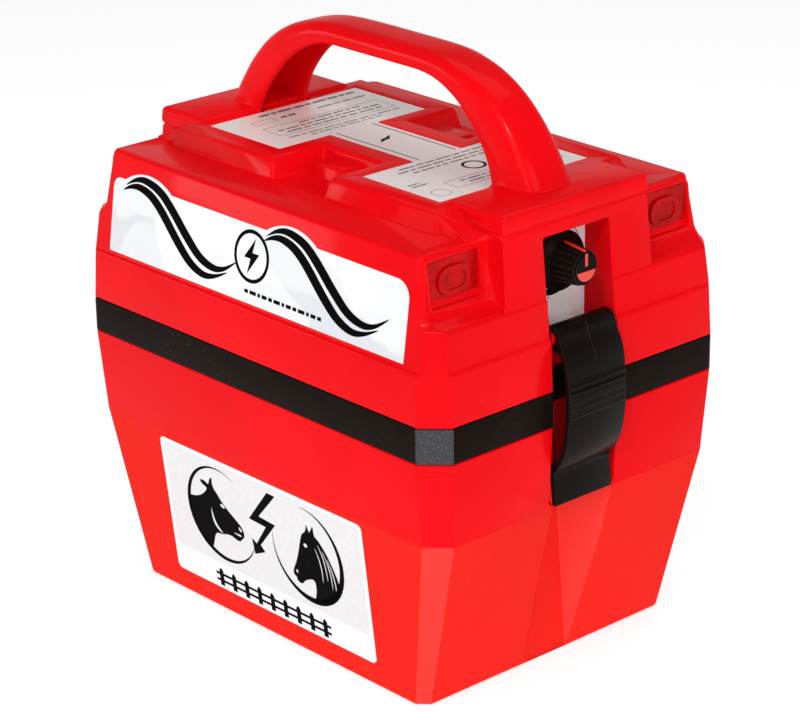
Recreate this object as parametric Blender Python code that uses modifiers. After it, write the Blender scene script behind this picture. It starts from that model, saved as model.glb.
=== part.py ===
"""Battery fence energizer: a moulded battery tub with a lift-off power unit.

Frame: metres, +Z up.  The origin is the centre of the tub's underside.  +X is
the short end that carries the power knob, and -Y is one of the long sides.
"""

import math

import bmesh
import bpy
from mathutils import Matrix, Vector

# ---------------------------------------------------------------- driving sizes
WALL = 0.0026            # moulded wall thickness
GAP = 0.0003             # gap kept between pieces that touch
SHEET = 0.0003           # printed label thickness

BASE_HALF_X = 0.1017     # tub underside
BASE_HALF_Y = 0.0790
CREASE_Z = 0.0873        # where the tapered foot of the tub ends
CREASE_HALF_X = 0.1230
CREASE_HALF_Y = 0.0891
RIM_HALF_X = 0.1250      # widest level, shared by tub, band and housing
RIM_HALF_Y = 0.0925
RIM_CORNER = 0.0108
BAND_Z = (0.1280, 0.1444)
BAND_THICK = 0.0032
HOUSING_Z = 0.1447       # housing's lower edge
TIER_Z = 0.1696          # small step above the lower tier
TIER_HALF_X = 0.1226
TIER_HALF_Y = 0.0901
SHOULDER_Z = 0.1860      # end shoulders below the outlet pads
DECK_Z = 0.2186
DECK_HALF_X = 0.1078
SIDE_DRAFT = 0.1402      # inward lean of the housing's long sides, per metre of height
PLATEAU_Z = 0.2280
LABEL_POCKET = 0.0006

CHANNEL_HALF_Y = 0.0205  # recess in each short end, for latch and knob
CHANNEL_X = 0.1030       # its floor
CHANNEL_TOP_Z = 0.2145
CHANNEL_FOOT_Z = 0.0895

PIVOT_X = 0.1200         # latch hinge bar
PIVOT_Z = 0.1680
PIVOT_R = 0.0030
LATCH_HALF_Y = 0.0180
LATCH_THICK = 0.0026
CATCH_X = 0.1172         # face of the tub's latch catch
CATCH_Z = 0.1045

KNOB_Z = 0.1970
KNOB_BACK_X = 0.1068
KNOB_SKIRT_R = 0.0140
KNOB_TIP_X = 0.1240
SHAFT_R = 0.0030

BATTERY = (0.190, 0.125, 0.160)
BATTERY_Z = 0.0045
TERMINAL_X = 0.060
TERMINAL_Y = 0.022

TRAY_Z = (0.1765, 0.1790)
TRAY_HALF = (0.0985, 0.0800)
BOARD_Z = 0.1845
BOARD_X = (-0.008, 0.078)
BOARD_HALF_Y = 0.052
BOARD_THICK = 0.0016

PAD_Y = 0.0655
PAD_Z = 0.2048
PAD_SIZE = (0.0300, 0.0210)

FACE = (-1, 1)           # the two ends, or the two sides


# ---------------------------------------------------------------- scene helpers
def clear_scene():
    for obj in list(bpy.data.objects):
        bpy.data.objects.remove(obj, do_unlink=True)


def make_collection(name):
    collection = bpy.data.collections.new(name)
    bpy.context.scene.collection.children.link(collection)
    return collection


clear_scene()
PARTS = make_collection("fence_energizer")
CUTTERS = make_collection("cutters")


def material(name, colour, roughness, metallic=0.0):
    found = bpy.data.materials.get(name)
    if found:
        return found
    made = bpy.data.materials.new(name)
    made.use_nodes = True
    shader = made.node_tree.nodes["Principled BSDF"]
    shader.inputs["Base Color"].default_value = (*colour, 1.0)
    shader.inputs["Roughness"].default_value = roughness
    shader.inputs["Metallic"].default_value = metallic
    made.diffuse_color = (*colour, 1.0)
    return made


RED = ("red_plastic", (0.80, 0.012, 0.020), 0.32)
BLACK = ("black_plastic", (0.020, 0.016, 0.015), 0.38)
BAND_BLACK = ("seal_rubber", (0.018, 0.014, 0.012), 0.45)
WHITE = ("label_film", (0.82, 0.82, 0.80), 0.35)
GREY = ("grey_plastic", (0.30, 0.31, 0.32), 0.50)
BATTERY_GREEN = ("battery_wrap", (0.10, 0.22, 0.40), 0.40)
BOARD_GREEN = ("circuit_board", (0.02, 0.16, 0.06), 0.45)
BRASS = ("brass", (0.72, 0.52, 0.22), 0.30, 1.0)
STEEL = ("zinc_steel", (0.62, 0.63, 0.64), 0.32, 1.0)
ALUMINIUM = ("aluminium", (0.70, 0.71, 0.72), 0.35, 1.0)
COPPER = ("copper_winding", (0.60, 0.24, 0.10), 0.35, 0.8)
WIRE_RED = ("red_insulation", (0.60, 0.02, 0.02), 0.45)
WIRE_BLACK = ("black_insulation", (0.02, 0.02, 0.02), 0.45)
CAPACITOR = ("capacitor_case", (0.75, 0.74, 0.70), 0.35)
RED_INSERT = ("red_pointer", (0.78, 0.03, 0.03), 0.35)


def object_from_mesh(name, mesh, look=None, collection=None):
    obj = bpy.data.objects.new(name, mesh)
    (collection or PARTS).objects.link(obj)
    if look:
        mesh.materials.clear()
        mesh.materials.append(material(*look))
    return obj


def object_from_bmesh(name, bm, look=None, collection=None):
    bmesh.ops.recalc_face_normals(bm, faces=bm.faces)
    mesh = bpy.data.meshes.new(name)
    bm.to_mesh(mesh)
    bm.free()
    return object_from_mesh(name, mesh, look, collection)


def as_cutter(obj):
    """Move an object to the cutters collection, so that it only shapes others."""
    for collection in list(obj.users_collection):
        collection.objects.unlink(obj)
    CUTTERS.objects.link(obj)
    obj.hide_render = True
    obj.display_type = "WIRE"
    return obj


def boolean(target, tool, operation):
    as_cutter(tool)
    modifier = target.modifiers.new(operation.lower(), "BOOLEAN")
    modifier.operation = operation
    modifier.object = tool
    modifier.solver = "EXACT"
    return target


def cut(target, *tools):
    for tool in tools:
        boolean(target, tool, "DIFFERENCE")
    return target


def join(target, *tools):
    for tool in tools:
        boolean(target, tool, "UNION")
    return target


def bevel(obj, width, segments=2, angle=30):
    modifier = obj.modifiers.new("rounded_edges", "BEVEL")
    modifier.width = width
    modifier.segments = segments
    modifier.limit_method = "ANGLE"
    modifier.angle_limit = math.radians(angle)
    return obj


def smooth(obj, angle=35):
    obj.data.shade_smooth()
    obj.data.set_sharp_from_angle(angle=math.radians(angle))
    return obj


def set_origin(obj, point):
    """Put the object's origin at a point of its joint axis, leaving its shape in place."""
    obj.data.transform(Matrix.Translation(-Vector(point)))
    obj.location = point
    return obj


# ---------------------------------------------------------------- shape helpers
def box(name, low, high, look=None):
    low, high = Vector(low), Vector(high)
    bm = bmesh.new()
    bmesh.ops.create_cube(bm, size=1.0)
    bmesh.ops.scale(bm, vec=high - low, verts=bm.verts)
    bmesh.ops.translate(bm, vec=(low + high) / 2, verts=bm.verts)
    return object_from_bmesh(name, bm, look)


def rod(name, start, end, radius, look=None, sides=24, end_radius=None):
    """A cylinder, or a cone when end_radius is given, between two points."""
    start, end = Vector(start), Vector(end)
    axis = end - start
    bm = bmesh.new()
    bmesh.ops.create_cone(bm, cap_ends=True, segments=sides, radius1=radius,
                          radius2=radius if end_radius is None else end_radius,
                          depth=axis.length)
    turn = Vector((0, 0, 1)).rotation_difference(axis).to_matrix().to_4x4()
    bmesh.ops.transform(bm, matrix=Matrix.Translation((start + end) / 2) @ turn, verts=bm.verts)
    return object_from_bmesh(name, bm, look)


def loft(name, sections, look=None):
    """A closed solid through sections that hold the same number of points."""
    bm = bmesh.new()
    loops = [[bm.verts.new(point) for point in section] for section in sections]
    count = len(loops[0])
    for lower, upper in zip(loops, loops[1:]):
        for i in range(count):
            j = (i + 1) % count
            bm.faces.new((lower[i], lower[j], upper[j], upper[i]))
    bm.faces.new(list(reversed(loops[0])))
    bm.faces.new(loops[-1])
    return object_from_bmesh(name, bm, look)


def extruded(name, outline, low, high, look=None, axis="Y"):
    """A flat outline pushed along an axis.  Outline points are in the other two axes."""
    place = {
        "Y": lambda u, v, w: (u, w, v),
        "Z": lambda u, v, w: (u, v, w),
        "X": lambda u, v, w: (w, u, v),
    }[axis]
    return loft(name, [[place(u, v, w) for u, v in outline] for w in (low, high)], look)


def octagon(z, half_x, half_y, corner):
    """A rectangle with its four corners cut at 45 degrees."""
    corners = []
    for sx, sy in ((1, -1), (1, 1), (-1, 1), (-1, -1)):
        along_x = (sx * (half_x - corner), sy * half_y, z)
        along_y = (sx * half_x, sy * (half_y - corner), z)
        corners += [along_x, along_y] if sx * sy < 0 else [along_y, along_x]
    return corners


def tiers(name, rings, inset=0.0, look=None):
    """An octagonal stack through rings of (z, half x, half y, corner)."""
    loops = []
    for z, half_x, half_y, corner in rings:
        small = max(corner - (2 - math.sqrt(2)) * inset, 0.0006)
        loops.append(octagon(z, half_x - inset, half_y - inset, small))
    return loft(name, loops, look)


def rectangle(z, x_low, x_high, half_y):
    return [(x_low, -half_y, z), (x_high, -half_y, z), (x_high, half_y, z), (x_low, half_y, z)]


def mirrored_box(name, end, x_low, x_high, half_y, z_low, z_high, look=None):
    """A box centred on Y whose X span is taken towards one end."""
    near, far = sorted((end * x_low, end * x_high))
    return box(name, (near, -half_y, z_low), (far, half_y, z_high), look)


def catmull_rom(points, steps):
    """Points of a smooth curve through the given points, steps to each span."""
    ends = [points[0], *points, points[-1]]
    result = []
    for a, b, c, d in zip(ends, ends[1:], ends[2:], ends[3:]):
        for step in range(steps):
            t = step / steps
            result.append(tuple(
                0.5 * (2 * q + (r - p) * t + (2 * p - 5 * q + 4 * r - s) * t * t
                       + (3 * q - p - 3 * r + s) * t ** 3)
                for p, q, r, s in zip(a, b, c, d)))
    result.append(tuple(points[-1]))
    return result


def arc(centre, radius, start, stop, steps):
    """Points of a circular arc, angles in degrees."""
    points = []
    for step in range(steps + 1):
        angle = math.radians(start + (stop - start) * step / steps)
        points.append((centre[0] + radius * math.cos(angle), centre[1] + radius * math.sin(angle)))
    return points


def rounded_rectangle(half_u, half_v, radius, steps=4):
    points = []
    for su, sv, start in ((1, 1, 0), (-1, 1, 90), (-1, -1, 180), (1, -1, 270)):
        centre = (su * (half_u - radius), sv * (half_v - radius))
        points += arc(centre, radius, start, start + 90, steps)
    return points


def wire(name, route, radius, look):
    """A round insulated wire along a smooth route."""
    curve = bpy.data.curves.new(name, "CURVE")
    curve.dimensions = "3D"
    curve.bevel_depth = radius
    curve.bevel_resolution = 2
    curve.use_fill_caps = True
    spline = curve.splines.new("POLY")
    points = catmull_rom(route, 4)
    spline.points.add(len(points) - 1)
    for slot, point in zip(spline.points, points):
        slot.co = (*point, 1.0)
    obj = bpy.data.objects.new(name, curve)
    PARTS.objects.link(obj)
    curve.materials.append(material(*look))
    return obj


def turned(name, profile, look, origin, axis="Z", steps=32):
    """A Screw-modifier solid.  Profile runs top to bottom down the outer side, from and
    to the axis, as (radius, height along the axis)."""
    mesh = bpy.data.meshes.new(name)
    verts = [(radius, 0.0, height) for radius, height in profile]
    edges = [(i, i + 1) for i in range(len(verts) - 1)]
    mesh.from_pydata(verts, edges, [])
    obj = object_from_mesh(name, mesh, look)
    screw = obj.modifiers.new("turn", "SCREW")
    screw.steps = steps
    screw.render_steps = steps
    screw.use_merge_vertices = True
    screw.merge_threshold = 0.00001
    if axis == "X":
        obj.rotation_euler = (0.0, math.radians(90), 0.0)
    obj.location = origin
    return obj


# ---------------------------------------------------------------- ends and channels
def channel_cutters(prefix, z_low, z_high, grow=0.0):
    """The straight-walled recess at both short ends, larger all round by grow."""
    return [mirrored_box(f"{prefix}_channel_{end}", end, CHANNEL_X - grow, 0.140,
                         CHANNEL_HALF_Y + grow, z_low, z_high) for end in FACE]


def splayed_groove(name, end, grow=0.0):
    """The tub's lower groove: upright floor, splayed sides, deeper towards the top."""
    foot = [(0.1009 - grow, 0.0120 + grow), (0.1020 - grow, 0.0187 + grow), (0.140, 0.0187 + grow)]
    head = [(0.1020 - grow, 0.0042 + grow), (0.1232 - grow, 0.0190 + grow), (0.140, 0.0190 + grow)]
    sections = []
    for z, half in ((-0.002, foot), (CHANNEL_FOOT_Z + 0.0005, head)):
        loop = [(end * x, y, z) for x, y in half] + [(end * x, -y, z) for x, y in reversed(half)]
        sections.append(loop)
    return loft(name, sections)


# ---------------------------------------------------------------- tub, band, battery
TUB_RINGS = [
    (0.0000, BASE_HALF_X - 0.0010, BASE_HALF_Y - 0.0010, 0.0050),
    (0.0012, BASE_HALF_X, BASE_HALF_Y, 0.0053),
    (CREASE_Z, CREASE_HALF_X, CREASE_HALF_Y, 0.0103),
    (BAND_Z[0] - GAP, RIM_HALF_X, RIM_HALF_Y, RIM_CORNER),
]
UPSTAND_INSET = BAND_THICK + 0.0004
UPSTAND_THICK = 0.0022
UPSTAND_TOP_Z = 0.1482
FLOOR_THICK = 0.0030
ABOVE_RIM_Z = 0.1700         # cutters for the tub and band end here, clear of their tops


def build_tub():
    shelf_z = BAND_Z[0] - GAP
    small_corner = RIM_CORNER - 0.0021
    upstand = [
        (shelf_z, RIM_HALF_X - UPSTAND_INSET, RIM_HALF_Y - UPSTAND_INSET, small_corner),
        (UPSTAND_TOP_Z, RIM_HALF_X - UPSTAND_INSET, RIM_HALF_Y - UPSTAND_INSET, small_corner),
    ]
    tub = tiers("battery_tub", TUB_RINGS + upstand, look=RED)

    shelf_under_z = shelf_z - 0.0060
    throat = UPSTAND_INSET + UPSTAND_THICK
    throat_corner = 0.0074
    under_rim = 0.0004       # how much narrower the tub is under the shelf than at its rim
    hollow = tiers("tub_hollow", [
        (FLOOR_THICK, BASE_HALF_X - WALL + 0.0004, BASE_HALF_Y - WALL, 0.0040),
        (CREASE_Z, CREASE_HALF_X - WALL, CREASE_HALF_Y - WALL, 0.0088),
        (shelf_under_z, RIM_HALF_X - under_rim - WALL, RIM_HALF_Y - 2 * under_rim - WALL, 0.0092),
        (shelf_under_z + 0.0032, RIM_HALF_X - throat, RIM_HALF_Y - throat, throat_corner),
        (ABOVE_RIM_Z, RIM_HALF_X - throat, RIM_HALF_Y - throat, throat_corner),
    ])
    cut(hollow, *channel_cutters("tub_wall", CHANNEL_FOOT_Z - WALL, shelf_z, WALL))
    cut(hollow, *channel_cutters("tub_throat", shelf_under_z, ABOVE_RIM_Z, throat))
    cut(hollow, *[splayed_groove(f"tub_groove_wall_{end}", end, WALL) for end in FACE])

    cut(tub, hollow)
    cut(tub, *channel_cutters("tub", CHANNEL_FOOT_Z, shelf_z + 0.0001))
    cut(tub, *channel_cutters("tub_upstand", shelf_z, ABOVE_RIM_Z, UPSTAND_INSET))
    cut(tub, *[splayed_groove(f"tub_groove_{end}", end) for end in FACE])
    join(tub, *[latch_catch(end) for end in FACE])
    join(tub, *[battery_rib(i, side) for side in FACE for i in (-1, 0, 1)])
    return tub


def latch_catch(end):
    """The ramped ledge across the tub's channel that the latch closes against."""
    outline = [
        (end * (CHANNEL_X - 0.0010), CATCH_Z - 0.0080),
        (end * (CHANNEL_X + 0.0020), CATCH_Z - 0.0080),
        (end * CATCH_X, CATCH_Z - 0.0015),
        (end * CATCH_X, CATCH_Z + 0.0025),
        (end * (CATCH_X - 0.0025), CATCH_Z + 0.0050),
        (end * (CHANNEL_X - 0.0010), CATCH_Z + 0.0050),
    ]
    half_y = CHANNEL_HALF_Y + 0.0010
    return extruded(f"latch_catch_{end}", outline, -half_y, half_y)


def battery_rib(index, side):
    """An upright rib on the tub's long wall that keeps the battery central."""
    face = BATTERY[1] / 2 + 0.0010
    outline = [
        (side * face, 0.0020), (side * 0.0785, 0.0020),
        (side * 0.0865, 0.0800), (side * 0.0865, 0.0900), (side * face, 0.0740),
    ]
    middle = index * 0.060
    return extruded(f"battery_rib_{index}_{side}", outline, middle - 0.0012, middle + 0.0012,
                    axis="X")


def build_band():
    rings = [(z, RIM_HALF_X, RIM_HALF_Y, RIM_CORNER) for z in BAND_Z]
    band = tiers("seal_band", rings, look=BAND_BLACK)
    hole = tiers("band_hole", [(z, RIM_HALF_X, RIM_HALF_Y, RIM_CORNER) for z in (0.120, 0.150)],
                 inset=BAND_THICK)
    cut(hole, *channel_cutters("band_hole", 0.110, 0.160, BAND_THICK))
    return cut(band, hole, *channel_cutters("band", 0.110, 0.160))


def build_battery():
    half_x, half_y = BATTERY[0] / 2, BATTERY[1] / 2
    top = BATTERY_Z + BATTERY[2]
    case = box("battery_case", (-half_x, -half_y, BATTERY_Z), (half_x, half_y, top - 0.012),
               BATTERY_GREEN)
    bevel(case, 0.0030)
    cap = box("battery_cap", (-half_x + 0.001, -half_y + 0.001, top - 0.012 + GAP),
              (half_x - 0.001, half_y - 0.001, top), GREY)
    bevel(cap, 0.0020)
    for name, side in (("battery_terminal_positive", 1), ("battery_terminal_negative", -1)):
        foot = (TERMINAL_X, side * TERMINAL_Y, top + GAP)
        stud = turned(name, [(0.0, 0.0052), (0.0030, 0.0052), (0.0036, 0.0044), (0.0036, 0.0012),
                             (0.0060, 0.0010), (0.0060, 0.0), (0.0, 0.0)], BRASS, foot, steps=20)
        smooth(stud)


def build_side_label(name, side, x_span, z_span, half_y_at, radius, corner_flat=False):
    """A printed sheet that lies against one leaning long side."""
    z_low, z_high = z_span
    low = Vector((0, side * half_y_at(z_low), z_low))
    high = Vector((0, side * half_y_at(z_high), z_high))
    up = (high - low).normalized()
    out = Vector((0, side * up.z, -side * up.y))
    half_u, half_v = (x_span[1] - x_span[0]) / 2, (high - low).length / 2
    centre = (low + high) / 2 + Vector(((x_span[0] + x_span[1]) / 2, 0, 0))
    outline = rounded_rectangle(half_u, half_v, radius)
    if corner_flat:
        outline = [(u, v) if v > 0 else (math.copysign(half_u, u), -half_v) for u, v in outline]
        outline = list(dict.fromkeys(outline))
    sections = []
    for height in (GAP, GAP + SHEET):
        sections.append([centre + Vector((u, 0, 0)) + up * v + out * height for u, v in outline])
    return loft(name, sections, WHITE)


def tub_half_y(z):
    share = (z - TUB_RINGS[1][0]) / (CREASE_Z - TUB_RINGS[1][0])
    return BASE_HALF_Y + (CREASE_HALF_Y - BASE_HALF_Y) * share


def housing_half_y(z):
    return TIER_HALF_Y - SIDE_DRAFT * (z - TIER_Z)


def build_labels():
    for side, word in ((-1, "front"), (1, "back")):
        build_side_label(f"lower_label_{word}", side, (-0.0725, 0.0725), (0.0125, 0.0845),
                         tub_half_y, 0.0020)
        build_side_label(f"upper_label_{word}", side, (-0.1035, 0.1035), (0.1712, 0.2075),
                         housing_half_y, 0.0080, corner_flat=True)


# ---------------------------------------------------------------- upper housing
def housing_rings():
    side = housing_half_y
    return [
        (HOUSING_Z, RIM_HALF_X, RIM_HALF_Y, RIM_CORNER),
        (TIER_Z - 0.0014, RIM_HALF_X - 0.0012, RIM_HALF_Y - 0.0010, 0.0104),
        (TIER_Z, TIER_HALF_X, TIER_HALF_Y, 0.0078),
        (SHOULDER_Z, 0.1214, side(SHOULDER_Z), 0.0074),
        (0.1876, 0.1202, side(0.1876), 0.0068),
        (0.1888, 0.1165, side(0.1888), 0.0050),
        (0.1908, 0.1130, side(0.1908), 0.0034),
        (0.1932, 0.1111, side(0.1932), 0.0026),
        (DECK_Z - 0.0016, DECK_HALF_X, side(DECK_Z - 0.0016), 0.0022),
        (DECK_Z - 0.0004, DECK_HALF_X - 0.0006, side(DECK_Z) - 0.0005, 0.0020),
        (DECK_Z, DECK_HALF_X - 0.0018, side(DECK_Z) - 0.0016, 0.0018),
    ]


# Pilaster behind the knob, as (z, outer x, half y).
PILASTER = [
    (0.1780, 0.1216, 0.0462), (0.2196, 0.1176, 0.0448), (0.2208, 0.1168, 0.0440),
    (0.2220, 0.1179, 0.0450), (0.2274, 0.1176, 0.0446), (0.2290, 0.1168, 0.0438),
    (0.2296, 0.1152, 0.0422),
]
PILASTER_INNER_X = 0.0840


def pilaster(name, end, inset=0.0):
    rings = PILASTER
    if inset:
        rings = [(0.1790, 0.1216, 0.0462), (PILASTER[-1][0] - inset, 0.1172, 0.0444)]
    sections = []
    for z, outer_x, half_y in rings:
        loop = rectangle(z, PILASTER_INNER_X, outer_x - inset, half_y - inset)
        sections.append([(end * x, y, z) for x, y, z in loop])
    return loft(name, sections)


# H-shaped plateau: two bars along Y and a strip that joins them, as (x low, x high, half y).
PLATEAU_PARTS = {"bar_right": (0.0200, 0.0885, 0.0575), "bar_left": (-0.0885, -0.0200, 0.0575),
                 "strip": (-0.0300, 0.0300, 0.0262)}


def plateau_block(name, part, inset=0.0):
    x_low, x_high, half_y = PLATEAU_PARTS[part]
    lean = 0.0030
    levels = [(DECK_Z - 0.0030, lean), (PLATEAU_Z - 0.0012, 0.0004), (PLATEAU_Z, -0.0008)]
    if inset:
        levels = [(DECK_Z - 0.0040, lean - inset), (PLATEAU_Z - inset, -inset)]
    loops = [rectangle(z, x_low - grow, x_high + grow, half_y + grow) for z, grow in levels]
    return loft(name, loops)


def gusset(name, end, side):
    """The ramp that falls from the plateau's corner to the deck beside the pilaster."""
    outline = [(0.0800, DECK_Z - 0.002), (0.1068, DECK_Z - 0.002), (0.1068, DECK_Z + 0.0006),
               (0.0880, PLATEAU_Z - 0.0006), (0.0800, PLATEAU_Z - 0.0006)]
    near, far = sorted((side * 0.0420, side * 0.0560))
    return extruded(name, [(end * x, z) for x, z in outline], near, far)


def recess_boss(name, side):
    """The small block in the plateau's side recess, over an inner screw post."""
    near, far = side * 0.0200, side * 0.0415
    sections = []
    for z, grow in ((DECK_Z - 0.002, 0.0012), (0.2242, 0.0), (0.2250, -0.0008)):
        loop = [(-0.0105 - grow, near), (0.0105 + grow, near), (0.0105 + grow, far + side * grow),
                (-0.0105 - grow, far + side * grow)]
        sections.append([(x, y, z) for x, y in loop])
    return loft(name, sections)


# Handle stations from one foot to the crown: outer (x, z), inner (x, z), width.
HANDLE_HALF = [
    (0.1060, 0.2274, 0.0798, 0.2274, 0.0316),
    (0.1045, 0.2310, 0.0795, 0.2310, 0.0310),
    (0.0975, 0.2425, 0.0755, 0.2400, 0.0295),
    (0.0905, 0.2525, 0.0690, 0.2490, 0.0282),
    (0.0815, 0.2620, 0.0610, 0.2572, 0.0272),
    (0.0710, 0.2696, 0.0525, 0.2635, 0.0265),
    (0.0590, 0.2750, 0.0430, 0.2680, 0.0262),
    (0.0440, 0.2786, 0.0330, 0.2702, 0.0260),
    (0.0250, 0.2798, 0.0200, 0.2706, 0.0260),
]


HANDLE_STEPS = 3         # smooth steps between two stations


def handle_stations():
    other_half = [(-x, z, -u, v, w) for x, z, u, v, w in reversed(HANDLE_HALF)]
    return catmull_rom(HANDLE_HALF + other_half, HANDLE_STEPS)


# Handle section: (depth share from outer to inner edge, share of half the width).
HANDLE_SECTION = [(0.00, -0.42), (0.03, -0.62), (0.12, -0.82), (0.30, -0.95), (0.55, -1.0),
                  (1.00, -1.0), (1.00, 1.0), (0.55, 1.0), (0.30, 0.95), (0.12, 0.82),
                  (0.03, 0.62), (0.00, 0.42)]


HANDLE_WALL = 0.0030


def handle_body(name):
    """The arch, an upturned channel: its underside is open and its feet stand on the housing."""
    half_way = len(HANDLE_SECTION) // 2
    sections = []
    for outer_x, outer_z, inner_x, inner_z, width in handle_stations():
        outer, inner = Vector((outer_x, 0, outer_z)), Vector((inner_x, 0, inner_z))
        reach, half = (inner - outer).length, width / 2
        room = half - HANDLE_WALL
        left = [(share * reach, across * half) for share, across in HANDLE_SECTION[:half_way]]
        right = [(share * reach, across * half) for share, across in HANDLE_SECTION[half_way:]]
        roof = [(HANDLE_WALL + 0.0020, -room), (HANDLE_WALL, -0.70 * room),
                (HANDLE_WALL, 0.70 * room), (HANDLE_WALL + 0.0020, room)]
        section = []
        for depth, across in left + [(reach, -room)] + roof + [(reach, room)] + right:
            point = outer + (inner - outer) * (depth / reach)
            section.append((point.x, across, point.z))
        sections.append(section)
    return loft(name, sections)


SCREW_POSTS = [(sx * 0.0905, sy * 0.0700) for sx in FACE for sy in FACE]
SCREW_POSTS += [(0.0, 0.0720), (0.0, -0.0720)]
POST_R = 0.0042
PILOT_R = 0.0017
SCREW_R = 0.0014


def pad_pocket(end, side):
    """The shallow rectangular pocket round a lead outlet."""
    half_y, half_z = PAD_SIZE[0] / 2, PAD_SIZE[1] / 2
    outline = [(side * PAD_Y + u, PAD_Z + v) for u, v in rounded_rectangle(half_y, half_z, 0.0020)]
    face_x = pad_face_x(PAD_Z)
    near, far = sorted((end * (face_x - 0.0014), end * (face_x + 0.0100)))
    return extruded(f"pad_pocket_{end}_{side}", outline, near, far, axis="X")


def pad_face_x(z):
    share = (z - 0.1932) / (DECK_Z - 0.0016 - 0.1932)
    return 0.1111 + (DECK_HALF_X - 0.1111) * share


def outlet_hole(end, side):
    outline = oval_at(side, 0.0068, 0.0042, 0.00415)
    near, far = sorted((end * 0.098, end * 0.116))
    return extruded(f"outlet_hole_{end}_{side}", outline, near, far, axis="X")


def build_housing():
    housing = tiers("upper_housing", housing_rings(), look=RED)
    join(housing, *[pilaster(f"pilaster_{end}", end) for end in FACE])
    join(housing, *[plateau_block(f"plateau_{part}", part) for part in PLATEAU_PARTS])
    join(housing, *[gusset(f"gusset_{end}_{side}", end, side) for end in FACE for side in FACE])
    join(housing, *[recess_boss(f"recess_boss_{side}", side) for side in FACE])

    hollow = tiers("housing_hollow", hollow_rings())
    join(hollow, *[pilaster(f"pilaster_hollow_{end}", end, WALL) for end in FACE])
    join(hollow, *[plateau_block(f"plateau_hollow_{part}", part, WALL) for part in PLATEAU_PARTS])
    cut(hollow, *channel_cutters("housing_wall", 0.120, CHANNEL_TOP_Z + WALL, WALL))
    cut(housing, hollow)
    cut(housing, *channel_cutters("housing", 0.120, CHANNEL_TOP_Z))

    for end in FACE:
        bar_half = CHANNEL_HALF_Y + 0.0012
        join(housing, rod(f"hinge_bar_{end}", (end * PIVOT_X, -bar_half, PIVOT_Z),
                          (end * PIVOT_X, bar_half, PIVOT_Z), PIVOT_R, sides=20))
    for i, (x, y) in enumerate(SCREW_POSTS):
        join(housing, rod(f"screw_post_{i}", (x, y, TRAY_Z[1] + GAP), (x, y, DECK_Z - 0.0010),
                          POST_R, sides=16))
        cut(housing, rod(f"pilot_hole_{i}", (x, y, 0.1700), (x, y, TRAY_Z[1] + 0.0120),
                         PILOT_R, sides=12))
    for side in FACE:
        cut(housing, pad_pocket(1, side), outlet_hole(1, side), pad_pocket(-1, side))
    cut(housing, rod("bushing_hole", (0.095, 0, KNOB_Z), (0.110, 0, KNOB_Z), 0.0039, sides=24))
    cut(housing, *[label_pocket(part) for part in PLATEAU_PARTS])

    return join(housing, handle_body("handle_arch"))


def hollow_rings():
    """The housing's inner surface: its outer rings drawn in by the wall."""
    result = []
    for z, half_x, half_y, corner in housing_rings():
        small = max(corner - (2 - math.sqrt(2)) * WALL, 0.0008)
        if z == HOUSING_Z:
            result.append((0.1300, half_x - WALL, half_y - WALL, small))
        elif z > DECK_Z - 0.0020:
            continue
        else:
            result.append((z - 0.0008, half_x - WALL, half_y - WALL, small))
    top = DECK_Z - WALL
    result.append((top, DECK_HALF_X - WALL, housing_half_y(top) - WALL, 0.0010))
    return result


LABEL_MARGIN = 0.0085


def label_extent(part, shrink=0.0):
    x_low, x_high, half_y = PLATEAU_PARTS[part]
    margin = LABEL_MARGIN + shrink
    if part == "strip":
        return (x_low - 0.004, x_high + 0.004, half_y - 0.0112 - shrink)
    return (x_low + margin, x_high - margin, half_y - 0.0115 - shrink)


def label_pocket(part):
    x_low, x_high, half_y = label_extent(part)
    return box(f"label_pocket_{part}", (x_low, -half_y, PLATEAU_Z - LABEL_POCKET),
               (x_high, half_y, PLATEAU_Z + 0.0020))


def build_top_label():
    """One H-shaped printed sheet in the plateau's pocket."""
    bar_low, bar_high, bar_half = label_extent("bar_right", 0.0004)
    strip_half = label_extent("strip", 0.0004)[2]
    right = [(bar_low, -strip_half), (bar_low, -bar_half), (bar_high, -bar_half),
             (bar_high, bar_half), (bar_low, bar_half), (bar_low, strip_half)]
    left = [(-x, -y) for x, y in right]
    z_low = PLATEAU_Z - LABEL_POCKET + GAP
    return extruded("top_label", right + left, z_low, z_low + SHEET, WHITE, axis="Z")


# ---------------------------------------------------------------- latches
# Strap centre line from the hinge to the pull tab, from the pivot: (outward, up).
STRAP_LINE = [(0.0048, -0.0020), (0.0072, -0.0060), (0.0092, -0.0110), (0.0104, -0.0180),
              (0.0110, -0.0270), (0.0111, -0.0360), (0.0100, -0.0460), (0.0078, -0.0540),
              (0.0046, -0.0600), (0.0020, -0.0632)]
TAB_LINE = [(0.0020, -0.0632), (0.0016, -0.0655), (0.0020, -0.0700), (0.0032, -0.0798)]
CLIP_INNER_R = PIVOT_R + GAP
CLIP_OUTER_R = 0.0056
RIB_LEVELS = (-0.0345, -0.0310, -0.0275, -0.0240, -0.0205)


def offset_line(line, distance):
    """The line moved sideways by distance, to the left of its direction of travel."""
    result = []
    for i, point in enumerate(line):
        ahead = line[min(i + 1, len(line) - 1)]
        behind = line[max(i - 1, 0)]
        step = Vector((ahead[0] - behind[0], ahead[1] - behind[1])).normalized()
        result.append((point[0] - step.y * distance, point[1] + step.x * distance))
    return result


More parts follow.
